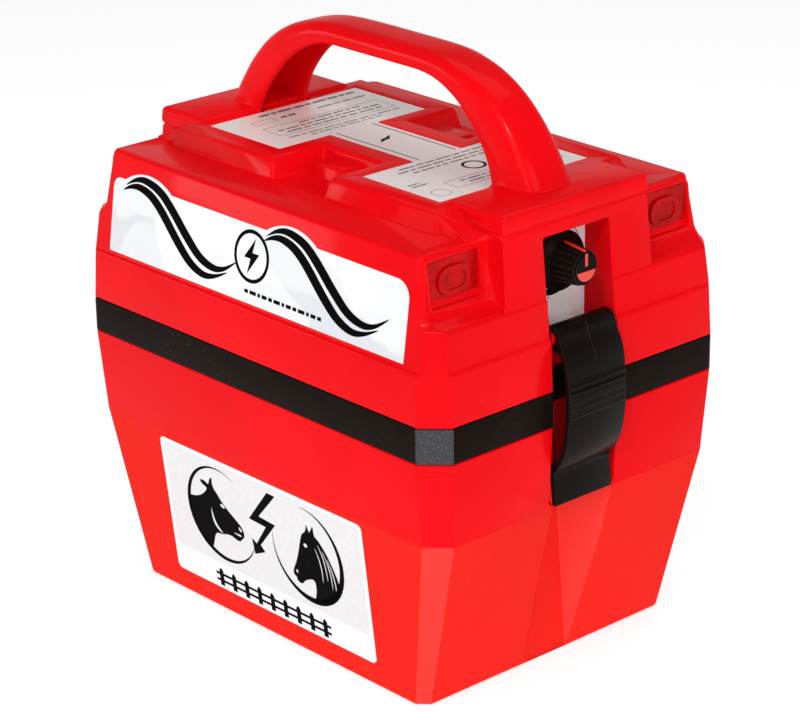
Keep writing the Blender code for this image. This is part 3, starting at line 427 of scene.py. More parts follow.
def paint_label_satin(paint):
    """White film printed with a soft grey fold pattern."""
    tint = colours()
    warp = paint.noise(13.0, 2.0, 0.45, distortion=1.2)
    along, up = paint.axis("X"), paint.axis("Z")
    folds = ((along * 46.0 + up * 92.0 + warp * 9.0).wave() * 0.5 + 0.5) ** 1.6
    wide = ((along * -21.0 + up * 60.0 + warp * 5.0).wave() * 0.5 + 0.5) ** 1.3
    fold = folds.between(0.30, 0.62) * 0.55 + wide.between(0.35, 0.60) * 0.45
    shade = paint.mix(fold, rgba(tint.paper_grey), rgba(tint.paper, 1.03))
    return film(paint, shade, 0.26)


def paint_label_white(paint):
    """The plain white of the lower labels' sheets and the dial."""
    tint = colours()
    fleck = paint.noise(600.0, 2.0)
    shade = paint.mix(fleck.between(0.2, 0.8), rgba(tint.paper, 0.97), rgba(tint.paper, 1.02))
    return film(paint, shade, 0.30)


def paint_label_cream(paint):
    """The top label's slightly warm silvery white."""
    fleck = paint.noise(600.0, 2.0)
    shade = paint.mix(fleck.between(0.2, 0.8), (0.87, 0.87, 0.84, 1.0), (0.92, 0.92, 0.89, 1.0))
    return film(paint, shade, 0.34)


def paint_label_grey(paint):
    """The pale grey panel printed on the lower labels."""
    fleck = paint.noise(420.0, 3.0)
    shade = paint.mix(fleck.between(0.25, 0.75), (0.74, 0.745, 0.76, 1.0), (0.79, 0.795, 0.81, 1.0))
    return film(paint, shade, 0.30)


def film(paint, shade, roughness):
    """The laminate over a print: slight waviness, handling marks and a thin coat."""
    wavy = paint.noise(28.0, 2.0, 0.4)
    marks = paint.noise(90.0, 5.0, 0.7).between(0.55, 0.75)
    dust = paint.cells(260.0).between(0.03, 0.06, 1.0, 0.0)
    shade = paint.mix(dust * 0.05, shade, (0.45, 0.43, 0.40, 1.0))
    skin = paint.bump(wavy, 0.10, 0.0012)
    skin = paint.bump(paint.noise(1300.0, 2.0), 0.04, 0.0003, skin)
    return paint.finish(Base_Color=shade, Roughness=roughness + marks * 0.03, Normal=skin,
                        Coat_Weight=0.25, Coat_Roughness=0.14)


def paint_ink(paint):
    """Screen-printed black: dense, with faint mottling and a slight sheen."""
    mottle = paint.noise(700.0, 3.0, 0.6)
    base = colours().ink
    shade = paint.mix(mottle.between(0.3, 0.8), rgba(base, 0.6), rgba(base))
    skin = paint.bump(mottle, 0.05, 0.0003)
    return paint.finish(Base_Color=shade, Roughness=0.34 + (mottle - 0.5) * 0.15, Normal=skin,
                        Specular_IOR_Level=0.02, IOR=1.32)


def paint_ink_grey(paint):
    mottle = paint.noise(700.0, 3.0, 0.6)
    shade = paint.mix(mottle, (0.055, 0.055, 0.058, 1.0), (0.13, 0.13, 0.135, 1.0))
    skin = paint.bump(mottle, 0.05, 0.0003)
    return paint.finish(Base_Color=shade, Roughness=0.38 + mottle * 0.08, Normal=skin)


def paint_pointer_red(paint):
    """Painted insert in the knob: opaque red with brush ridges and a chipped edge."""
    base = colours().pointer
    ridge = paint.noise(260.0, 3.0, 0.6, paint.scaled((1.0, 5.0, 1.0)))
    chip = paint.edges(0.0004) * paint.noise(900.0, 2.0).between(0.5, 0.7)
    shade = paint.mix(ridge, rgba(base, 0.88), rgba(base, 1.08))
    shade = paint.mix(chip * 0.4, shade, (0.16, 0.03, 0.02, 1.0))
    return paint.finish(Base_Color=shade, Roughness=0.38 + ridge * 0.12,
                        Normal=paint.bump(ridge, 0.12, 0.0004), Coat_Weight=0.2,
                        Coat_Roughness=0.2)


def metal(paint, dark, light, roughness, brushed=(1.0, 1.0, 40.0), stain=(0.20, 0.17, 0.13)):
    """Machined or plated metal: draw lines, light tarnish and worn bright edges."""
    lines = paint.noise(90.0, 3.0, 0.6, paint.scaled(brushed))
    tarnish = paint.noise(130.0, 4.0, 0.65).between(0.48, 0.75)
    edge = paint.edges(0.0004)
    shade = paint.mix(lines, (*dark, 1.0), (*light, 1.0))
    shade = paint.mix(tarnish * 0.35, shade, (*stain, 1.0))
    shade = paint.mix(edge * 0.4, shade, (*light, 1.0))
    rough = roughness + tarnish * 0.16 + (lines - 0.5) * 0.12
    skin = paint.bump(lines, 0.10, 0.0003)
    return paint.finish(Base_Color=shade, Roughness=rough, Metallic=1.0 - tarnish * 0.15,
                        Normal=skin)


def paint_zinc(paint):
    return metal(paint, (0.48, 0.49, 0.50), (0.74, 0.75, 0.76), 0.28)


def paint_brass(paint):
    return metal(paint, (0.52, 0.34, 0.11), (0.83, 0.62, 0.28), 0.26, stain=(0.22, 0.12, 0.05))


def paint_aluminium(paint):
    return metal(paint, (0.60, 0.61, 0.62), (0.82, 0.83, 0.84), 0.36, (40.0, 1.0, 1.0),
                 (0.42, 0.42, 0.42))


def paint_lamination(paint):
    """Stacked transformer sheets: thin dark joints across Y, oxide bloom and varnish."""
    stack = (paint.axis("Y") * 2000.0).fraction()
    joint = abs(stack - 0.5).between(0.36, 0.48)
    rust = paint.noise(160.0, 4.0, 0.65).between(0.56, 0.72)
    shade = paint.mix(joint, (0.30, 0.30, 0.31, 1.0), (0.045, 0.042, 0.040, 1.0))
    shade = paint.mix(rust * 0.55, shade, (0.20, 0.085, 0.035, 1.0))
    skin = paint.bump(joint, -0.5, 0.0002)
    return paint.finish(Base_Color=shade, Roughness=0.42 + rust * 0.25,
                        Metallic=(1.0 - rust * 0.7) * (1.0 - joint * 0.6), Normal=skin,
                        Coat_Weight=0.3, Coat_Roughness=0.2)


def paint_winding(paint):
    """Enamelled copper under varnished tape: fine turns with darker gaps."""
    turns = (paint.axis("Z") * 1600.0).fraction()
    gap = abs(turns - 0.5).between(0.32, 0.49)
    tape = paint.noise(55.0, 3.0, 0.6).between(0.45, 0.6)
    shade = paint.mix(gap, (0.62, 0.21, 0.065, 1.0), (0.11, 0.025, 0.010, 1.0))
    shade = paint.mix(tape * 0.35, shade, (0.45, 0.26, 0.06, 1.0))
    skin = paint.bump(gap, -0.6, 0.0003)
    return paint.finish(Base_Color=shade, Roughness=0.30 + tape * 0.15, Metallic=0.75 - gap * 0.5,
                        Normal=skin, Coat_Weight=0.35, Coat_Roughness=0.15)


def insulation(paint, base):
    """Soft cable insulation: extrusion ripple, dust and scuffs."""
    ripple = paint.noise(140.0, 3.0, 0.6, paint.scaled((0.3, 1.0, 1.0)))
    dust = paint.noise(420.0, 4.0, 0.7).between(0.55, 0.75)
    shade = paint.mix(ripple, rgba(base, 0.85), rgba(base, 1.15))
    shade = paint.mix(dust * 0.10, shade, (0.45, 0.42, 0.38, 1.0))
    return paint.finish(Base_Color=shade, Roughness=0.42 + dust * 0.18,
                        Normal=paint.bump(ripple, 0.15, 0.0004))


def paint_wire_red(paint):
    return insulation(paint, (0.60, 0.018, 0.016))


def paint_wire_black(paint):
    return insulation(paint, (0.018, 0.017, 0.017))


def paint_ribbon(paint):
    """Flat cable of parallel cores, its first core marked red."""
    across = paint.axis("Y")
    core = abs((across * 900.0).fraction() - 0.5)
    valley = core.between(0.34, 0.49)
    first = across.below(-0.00405, 0.00045)
    shade = paint.mix(valley, (0.42, 0.42, 0.43, 1.0), (0.19, 0.19, 0.20, 1.0))
    shade = paint.mix(first, shade, (0.55, 0.03, 0.03, 1.0))
    return paint.finish(Base_Color=shade, Roughness=0.45 + valley * 0.1,
                        Normal=paint.bump(valley, -0.5, 0.0004))


def paint_board(paint):
    """Solder mask over copper tracks, with vias and pale printed outlines."""
    tint = colours().board
    along, across = paint.axis("X"), paint.axis("Y")
    snapped = paint.cells(260.0, where=paint.scaled((1.0, 0.35, 0.2)), out="Color")
    lanes = abs((along * 420.0 + paint.noise(22.0, 0.0) * 3.0).fraction() - 0.5)
    runs = abs((across * 420.0 + paint.noise(18.0, 0.0) * 3.0).fraction() - 0.5)
    field = paint.noise(40.0, 0.0).between(0.49, 0.51)
    track = lanes.between(0.30, 0.36) * field + runs.between(0.30, 0.36) * (1.0 - field)
    via = paint.cells(190.0).between(0.10, 0.13, 1.0, 0.0)
    shade = paint.mix(track, rgba(tint), rgba(tint, 2.1))
    shade = paint.mix(snapped.between(0.96, 0.97) * 0.6, shade, (0.62, 0.64, 0.60, 1.0))
    shade = paint.mix(via, shade, (0.72, 0.62, 0.38, 1.0))
    skin = paint.bump(track, 0.5, 0.0001)
    return paint.finish(Base_Color=shade, Roughness=0.34 + via * 0.05, Metallic=via * 0.8,
                        Normal=skin, Coat_Weight=0.4, Coat_Roughness=0.12)


def paint_wrap(paint):
    """The battery's printed wrap: blue, a pale band, fine stripes and overlap seams."""
    height = paint.axis("Z")
    band = height.within(0.0982, 0.1318, 0.0002)
    stripes = (height * 260.0).fraction().between(0.44, 0.50) * height.below(0.0882, 0.0002)
    fleck = paint.noise(520.0, 3.0, 0.6)
    scuff = paint.noise(75.0, 5.0, 0.7).between(0.58, 0.72)
    base = colours().wrap
    shade = paint.mix(fleck, rgba(base, 0.85), rgba(base, 1.15))
    shade = paint.mix(stripes * 0.5, shade, rgba(base, 0.35))
    shade = paint.mix(band, shade, (0.78, 0.78, 0.74, 1.0))
    shade = paint.mix(scuff * 0.12, shade, (0.50, 0.48, 0.44, 1.0))
    skin = paint.bump(paint.noise(34.0, 3.0), 0.18, 0.0012)
    return paint.finish(Base_Color=shade, Roughness=0.30 + scuff * 0.22, Normal=skin,
                        Coat_Weight=0.3, Coat_Roughness=0.2)


def paint_cap_grey(paint):
    return moulded(paint, (0.055, 0.058, 0.062), 0.46, 2.2, 0.0, (0.30, 0.31, 0.32))


def paint_tray_grey(paint):
    return moulded(paint, (0.24, 0.25, 0.26), 0.48, 2.0, 0.0, (0.50, 0.50, 0.50))


def paint_capacitor(paint):
    """Printed aluminium can sleeve: cream with a dark stripe and fine wrinkles."""
    stripe = abs(paint.axis("Y")).within(0.0178, 0.0210, 0.0002)
    wrinkle = paint.noise(190.0, 3.0, 0.6, paint.scaled((1.0, 6.0, 1.0)))
    shade = paint.mix(wrinkle, (0.68, 0.66, 0.58, 1.0), (0.78, 0.76, 0.70, 1.0))
    shade = paint.mix(stripe, shade, (0.05, 0.07, 0.16, 1.0))
    return paint.finish(Base_Color=shade, Roughness=0.33 + wrinkle * 0.1,
                        Normal=paint.bump(wrinkle, 0.2, 0.0004), Coat_Weight=0.3,
                        Coat_Roughness=0.15)


def paint_chip_black(paint):
    return moulded(paint, (0.016, 0.016, 0.017), 0.52, 3.0, 0.0, (0.12, 0.12, 0.12))


def paint_floor(paint):
    """Plain pale floor that gives off a little light of its own."""
    stage = bpy.context.scene.energizer_stage
    mottle = paint.noise(3.0, 3.0, 0.5)
    shade = paint.mix(mottle, rgba(stage.floor, 0.985), rgba(stage.floor, 1.01))
    return paint.finish(Base_Color=shade, Roughness=0.80, Specular_IOR_Level=0.15,
                        Emission_Color=(1.0, 1.0, 1.0, 1.0), Emission_Strength=stage.floor_glow)


FINISHES = {
    "shell_red": paint_shell_red,
    "tub_red": paint_tub_red,
    "window_red": paint_window_red,
    "latch_black": paint_latch_black,
    "knob_black": paint_knob_black,
    "band_rubber": paint_band_rubber,
    "label_satin": paint_label_satin,
    "label_white": paint_label_white,
    "label_cream": paint_label_cream,
    "label_grey": paint_label_grey,
    "print_black": paint_ink,
    "print_grey": paint_ink_grey,
    "pointer_red": paint_pointer_red,
    "zinc_plate": paint_zinc,
    "turned_brass": paint_brass,
    "cast_aluminium": paint_aluminium,
    "core_lamination": paint_lamination,
    "copper_turns": paint_winding,
    "wire_red": paint_wire_red,
    "wire_black": paint_wire_black,
    "flat_cable": paint_ribbon,
    "board_green": paint_board,
    "battery_print": paint_wrap,
    "cap_plastic": paint_cap_grey,
    "tray_plastic": paint_tray_grey,
    "can_sleeve": paint_capacitor,
    "chip_body": paint_chip_black,
    "plain_floor": paint_floor,
}


# ------------------------------------------------------------------------ mesh tools
def deselect():
    if bpy.context.object and bpy.context.object.mode != "OBJECT":
        bpy.ops.object.mode_set(mode="OBJECT")
    bpy.ops.object.select_all(action="DESELECT")


def activate(piece):
    deselect()
    piece.select_set(True)
    bpy.context.view_layer.objects.active = piece
    return piece


def settle(piece, name):
    """Names the active piece and puts its place into its mesh."""
    activate(piece)
    bpy.ops.object.transform_apply(location=True, rotation=True, scale=True)
    piece.name = name
    piece.data.name = name
    return piece


def dress(piece, finish, slot, body, *stands_for):
    """Gives a piece its finish, its body and the nodes it stands for; slot is not used."""
    piece.data.materials.clear()
    piece.data.materials.append(finish_named(finish))
    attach(piece, body)
    if stands_for:
        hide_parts(*stands_for)
    return piece


def apply_modifier(piece, kind, **settings):
    activate(piece)
    modifier = piece.modifiers.new(kind.lower(), kind)
    for key, value in settings.items():
        setattr(modifier, key, value)
    bpy.ops.object.modifier_apply(modifier=modifier.name)


def smooth(piece, angle):
    """Smooth shading over edges flatter than an angle in degrees."""
    activate(piece)
    bpy.ops.object.shade_smooth_by_angle(angle=math.radians(angle))


def edit_all(piece, *steps):
    """Runs mesh operators, each with its settings, on the whole of a piece."""
    activate(piece)
    bpy.ops.object.mode_set(mode="EDIT")
    bpy.ops.mesh.select_all(action="SELECT")
    for step, settings in steps:
        step(**settings)
    bpy.ops.object.mode_set(mode="OBJECT")
    return piece


def copy_of(node, name):
    """A copy of a CAD node's mesh with its triangles merged into whole flat faces."""
    piece = bpy.data.objects.new(name, NODES[node].data.copy())
    piece.data.name = name
    bpy.context.scene.collection.objects.link(piece)
    return edit_all(piece, (bpy.ops.mesh.remove_doubles, {"threshold": 0.00001}),
                    (bpy.ops.mesh.dissolve_limited, {"angle_limit": math.radians(0.6)}))


def round_edges(piece, width, segments=3, angle=30.0, weight=None):
    """Rounds the sharp edges.  weight gives each edge's share of the width."""
    mesh = piece.data
    shares = mesh.attributes.get("bevel_weight_edge") or mesh.attributes.new(
        "bevel_weight_edge", "FLOAT", "EDGE")
    model = bmesh.new()
    model.from_mesh(mesh)
    least = math.radians(angle)
    values = []
    for edge in model.edges:
        sharp = len(edge.link_faces) == 2 and edge.calc_face_angle(0.0) > least
        share = 1.0 if weight is None else weight(edge)
        values.append(share if sharp else 0.0)
    model.free()
    shares.data.foreach_set("value", values)
    apply_modifier(piece, "BEVEL", width=width, segments=segments, limit_method="WEIGHT",
                   use_clamp_overlap=False, miter_outer="MITER_ARC", harden_normals=False)
    left = mesh.attributes.get("bevel_weight_edge")
    if left:
        mesh.attributes.remove(left)


def meshed_curve(name, lines, closed, **settings):
    """A mesh from a curve with these settings, along lines of points."""
    deselect()
    curve = bpy.data.curves.new(name, "CURVE")
    for key, value in settings.items():
        setattr(curve, key, value)
    for line in lines:
        spline = curve.splines.new("POLY")
        spline.points.add(len(line) - 1)
        for point, place in zip(spline.points, line):
            point.co = (*place, 1.0)
        spline.use_cyclic_u = closed
    piece = bpy.data.objects.new(name, curve)
    bpy.context.scene.collection.objects.link(piece)
    activate(piece)
    bpy.ops.object.convert(target="MESH")
    return settle(bpy.context.object, name)


def flat_shapes(name, outlines, depth, place):
    """Closed outlines filled with their holes, given a thickness and laid on a plane."""
    lines = [[(u, v, 0.0) for u, v in outline] for outline in outlines]
    piece = meshed_curve(name, lines, True, dimensions="2D", fill_mode="BOTH", extrude=depth / 2)
    piece.data.transform(place @ Matrix.Translation((0.0, 0.0, depth / 2)))
    return edit_all(piece, (bpy.ops.mesh.remove_doubles, {"threshold": 0.000002}),
                    (bpy.ops.mesh.normals_make_consistent, {"inside": False}))


def bead(name, points, radius):
    """A fine round bead along a line of points."""
    return meshed_curve(name, [points], False, dimensions="3D", bevel_depth=radius,
                        bevel_resolution=1, use_fill_caps=True)


def join_pieces(pieces, name):
    """Like pieces made one."""
    deselect()
    for piece in pieces:
        piece.select_set(True)
    bpy.context.view_layer.objects.active = pieces[0]
    bpy.ops.object.join()
    return settle(bpy.context.object, name)


# ------------------------------------------------------------------------ drawing tools
def curved(points, steps=5, closed=False):
    """A smooth line through the points."""
    count = len(points)
    result = []
    for i in range(count if closed else count - 1):
        if closed:
            a, b, c, d = (points[(i + k) % count] for k in (-1, 0, 1, 2))
        else:
            a, b, c, d = (points[min(max(i + k, 0), count - 1)] for k in (-1, 0, 1, 2))
        for step in range(steps):
            t = step / steps
            result.append(tuple(
                0.5 * (2 * q + (r - p) * t + (2 * p - 5 * q + 4 * r - s) * t * t
                       + (3 * q - p - 3 * r + s) * t ** 3)
                for p, q, r, s in zip(a, b, c, d)))
    if not closed:
        result.append(tuple(points[-1]))
    return result


def circle_arc(centre, radius, start, stop, steps):
    """Points along an arc; angles in degrees."""
    points = []
    for step in range(steps + 1):
        angle = math.radians(start + (stop - start) * step / steps)
        points.append((centre[0] + radius * math.cos(angle), centre[1] + radius * math.sin(angle)))
    return points


def full_circle(centre, radius, steps):
    return circle_arc(centre, radius, 0, 360, steps)[:-1]


def rounded_card(low, high, radius, steps=8):
    """A rectangle with round corners, from its low corner to its high one."""
    (a, b), (c, d) = low, high
    return (circle_arc((c - radius, d - radius), radius, 90, 0, steps)
            + circle_arc((c - radius, b + radius), radius, 0, -90, steps)
            + circle_arc((a + radius, b + radius), radius, -90, -180, steps)
            + circle_arc((a + radius, d - radius), radius, 180, 90, steps))


def centred_card(half_u, half_v, radius, grow=0.0):
    return rounded_card((-half_u - grow, -half_v - grow), (half_u + grow, half_v + grow),
                        radius + grow)


def crescent(centre, radius, start, stop, widest, thick, steps=90):
    """A ring that swells from thin ends to its widest angle."""
    tip = 0.06
    outer, inner = [], []
    for step in range(steps + 1):
        angle = start + (stop - start) * step / steps
        if (angle - widest) * (start - widest) > 0:
            reach = (angle - start) / (widest - start)
        else:
            reach = (stop - angle) / (stop - widest)
        swell = math.sin(math.pi / 2 * max(0.0, min(1.0, reach))) ** 1.3
        width = thick * (tip + (1.0 - tip) * swell)
        turn = math.radians(angle)
        for line, away in ((outer, radius), (inner, radius - width)):
            line.append((centre[0] + away * math.cos(turn), centre[1] + away * math.sin(turn)))
    return outer + inner[::-1]


def bar(u, v, half_u, half_v):
    """A rectangle about a centre."""
    return [(u - half_u, v - half_v), (u + half_u, v - half_v), (u + half_u, v + half_v),
            (u - half_u, v + half_v)]


def frame_lines(low, high, thick):
    """The outline of a rectangle as a shape and its hole."""
    (a, b), (c, d) = low, high
    outer = [(a, b), (c, b), (c, d), (a, d)]
    inner = [(a + thick, b + thick), (a + thick, d - thick), (c - thick, d - thick),
             (c - thick, b + thick)]
    return [outer, inner]


def stroke(points, thick, taper=0.6):
    """An open line with width, tapering at both ends; a higher taper makes longer points."""
    count = len(points)
    left, right = [], []
    for i, (u, v) in enumerate(points):
        ahead, behind = points[min(i + 1, count - 1)], points[max(i - 1, 0)]
        step = Vector((ahead[0] - behind[0], ahead[1] - behind[1])).normalized()
        # The tips keep a little width, so that the outline doesn't close on itself.
        share = math.sin(math.pi * (i + 0.35) / (count - 0.3)) ** taper
        half = thick / 2 * share
        left.append((u - step.y * half, v + step.x * half))
        right.append((u + step.y * half, v - step.x * half))
    return left + right[::-1]


def in_metres(outlines):
    """Outlines drawn in millimetres, in metres."""
    return [[(u * MM, v * MM) for u, v in outline] for outline in outlines]


def facing_end(x):
    """Lays (y, z) drawings upright at x, facing the knob's end."""
    return Matrix(((0, 0, 1, x), (1, 0, 0, 0), (0, 1, 0, 0), (0, 0, 0, 1)))


def leaning_place(half_y_at, side, height):
    """Lays (x, z) drawings on a leaning long side; the back is the front turned half round."""
    rise = 0.1
    slope = (half_y_at(rise) - half_y_at(0.0)) / rise
    out = Vector((0.0, -1.0, -slope)).normalized()
    foot = Vector((0.0, -half_y_at(0.0), 0.0)) + out * height
    columns = Matrix((
        (1.0, 0.0, out.x, foot.x),
        (0.0, -slope, out.y, foot.y),
        (0.0, 1.0, out.z, foot.z),
        (0.0, 0.0, 0.0, 1.0)))
    turn = Matrix.Identity(4) if side > 0 else Matrix.Rotation(math.pi, 4, "Z")
    return turn @ columns


def housing_half_y(z):
    """Half width of the power unit's leaning sides."""
    return TIER_HALF_Y - TIER_LEAN * (z - TIER_Z)


def tub_half_y(z):
    """Half width of the tub's tapered foot."""
    return FOOT_HALF_Y + (CREASE_HALF_Y - FOOT_HALF_Y) * (z - FOOT_Z) / (CREASE_Z - FOOT_Z)


# ------------------------------------------------------------------------ shells
FINE_SHARE = 0.45
ROOM_SHARE = 0.42


def room_beside(edge):
    """How far the narrower of an edge's two faces reaches from it."""
    start = edge.verts[0].co
    along = (edge.verts[1].co - start).normalized()
    reaches = []
    for face in edge.link_faces:
        aways = [vertex.co - start for vertex in face.verts]
        reaches.append(max((away - along * away.dot(along)).length for away in aways))
    return min(reaches)


def fitting_share(share, edge):
    """The share of the wide rounding, cut down where a face beside the edge is narrow."""
    return min(share, ROOM_SHARE * room_beside(edge) / sizes().shell_edge)


def place_of(edge):
    """Middle of an edge, with x and y counted from the centre outwards."""
    middle = (edge.verts[0].co + edge.verts[1].co) / 2
    return abs(middle.x), abs(middle.y), middle.z


def housing_weight(edge):
    """Wide rounding on the deck and plateau, fine rounding on details, none inside."""
    x, y, z = place_of(edge)
    inside = z < ROOF_UNDER_Z and x < 0.0995 and y < housing_half_y(max(z, TIER_Z)) - WALL
    at_pad = x > 0.1000 and 0.0450 < y < 0.0880 and 0.1900 < z < 0.2178
    at_gusset = x > 0.0780 and 0.0400 < y < 0.0620 and z > DECK_Z
    if inside:
        return 0.0
    if at_pad:
        return 0.10 if edge.is_convex else 0.0
    if at_gusset:
        return 0.0
    return fitting_share(1.0 if z > PLATEAU_Z and edge.is_convex else FINE_SHARE, edge)


def tub_weight(edge):
    """Fine rounding on the tub's outer edges, none inside."""
    x, y, z = place_of(edge)
    if z > 0.0030 and x < 0.0980 and y < tub_half_y(min(z, CREASE_Z)) - WALL:
        return 0.0
    return fitting_share(0.5, edge)


class ENERGIZER_OT_housing(bpy.types.Operator):
    """Power unit's moulded housing with its handle, edges rounded"""

    bl_idname = "energizer.housing"
    bl_label = "Housing"

    def execute(self, context):
        housing = copy_of("upper_housing", "housing_shell")
        round_edges(housing, sizes().shell_edge, 3, 28.0, housing_weight)
        smooth(housing, 34.0)
        dress(housing, "shell_red", "red_plastic", "power_unit", "upper_housing")
        return {"FINISHED"}


class ENERGIZER_OT_tub(bpy.types.Operator):
    """Battery tub and the rubber band round its rim"""

    bl_idname = "energizer.tub"
    bl_label = "Tub and band"

    def execute(self, context):
        tub = copy_of("battery_tub", "tub_shell")
        round_edges(tub, sizes().shell_edge, 3, 14.0, tub_weight)
        for vertex in tub.data.vertices:
            vertex.co.z = max(vertex.co.z, 0.0)
        smooth(tub, 30.0)
        dress(tub, "tub_red", "red_plastic", "tub", "battery_tub")
        band = copy_of("seal_band", "rubber_band")
        round_edges(band, sizes().fine_edge, 3, 30.0)
        smooth(band, 30.0)
        dress(band, "band_rubber", "seal_rubber", "tub", "seal_band")
        return {"FINISHED"}


class ENERGIZER_OT_latches(bpy.types.Operator):
    """The two bowed latches"""

    bl_idname = "energizer.latches"
    bl_label = "Latches"

    SEAM_TOP, SEAM_LENGTH, SEAM_STEPS, SEAM_RADIUS = 0.1722, 0.0160, 16, 0.00016

    def seam(self, latch, side):
        """Points down the middle of a latch's bowed face."""
        points = []
        for step in range(self.SEAM_STEPS + 1):
            z = self.SEAM_TOP - self.SEAM_LENGTH * step / self.SEAM_STEPS
            outside = Vector((side * 0.2, 0.0, z))
            found, point, _, _ = latch.ray_cast(outside, Vector((-side, 0, 0)))
            if found:
                points.append(point)
        return points

    def execute(self, context):
        for node, side in (("latch_right", 1), ("latch_left", -1)):
            latch = copy_of(node, f"{node}_strap")
            round_edges(latch, sizes().fine_edge, 2, 50.0)
            smooth(latch, 40.0)
            dress(latch, "latch_black", "black_plastic", node, node)
            line = bead(f"{node}_seam", self.seam(latch, side), self.SEAM_RADIUS)
            dress(line, "latch_black", "black_plastic", node)
        return {"FINISHED"}


class ENERGIZER_OT_knob(bpy.types.Operator):
    """Power knob with its red pointer"""

    bl_idname = "energizer.knob"
    bl_label = "Knob"

    PAINT_DEPTH = 0.00012
    RIB_COUNT = 18
    SUNK = 0.0004

    def execute(self, context):
        knob = copy_of("power_knob", "knob_body")
        smooth(knob, 34.0)
        dress(knob, "knob_black", "black_plastic", "knob", "power_knob")
        face = facing_end(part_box("knob_pointer_cap")[1].x + PRINT_GAP)
        lower_part = circle_arc((0.0, KNOB_Z), 0.0058, 192, 348, 30)
        upright_mark = bar(0.0, KNOB_Z + 0.0041, 0.0008, 0.0029)
        for name, outline in (("knob_lower_disc", lower_part), ("knob_face_mark", upright_mark)):
            mark = flat_shapes(name, [outline], self.PAINT_DEPTH, face)
            dress(mark, "pointer_red", "red_pointer", "knob")
        self.ribs()
        self.pointer()
        return {"FINISHED"}

    def wedge(self, name, start, stop, half_wide, height):
        """A bar along the knob's cone, its edges bevelled; start and stop are (x, radius)."""
        deselect()
        bpy.ops.mesh.primitive_cube_add(size=1.0, location=(0, 0, 0))
        piece = bpy.context.object
        for vertex in piece.data.vertices:
            x, radius = start if vertex.co.x < 0 else stop
            rise = height if vertex.co.z > 0 else -self.SUNK
            vertex.co = (x, math.copysign(half_wide, vertex.co.y), radius + rise)
        piece.name = piece.data.name = name
        bevel = {"offset": min(half_wide, height) * 0.45, "segments": 2}
        return edit_all(piece, (bpy.ops.mesh.bevel, bevel))

    def ribs(self):
        """Gripping ribs round the knob's body, all but the one where the pointer lies."""
        pieces = []
        for i in range(1, self.RIB_COUNT):
            rib = self.wedge("rib", (0.1113, 0.0091), (0.1222, 0.0079), 0.00052, 0.00036)
            turn = Matrix.Rotation(2 * math.pi * i / self.RIB_COUNT, 4, "X")
            rib.data.transform(Matrix.Translation((0, 0, KNOB_Z)) @ turn)
            pieces.append(rib)
        ribs = join_pieces(pieces, "knob_ribs")
        smooth(ribs, 40.0)
        dress(ribs, "knob_black", "black_plastic", "knob")

    def pointer(self):
        """Red line along the top of the knob's body, from the skirt to the tip."""
        line = self.wedge("knob_pointer_line", (0.1106, 0.0093), (0.1233, 0.0078), 0.00085,
                          0.00045)
        line.data.transform(Matrix.Translation((0, 0, KNOB_Z)))
        smooth(line, 40.0)
        dress(line, "pointer_red", "red_pointer", "knob")


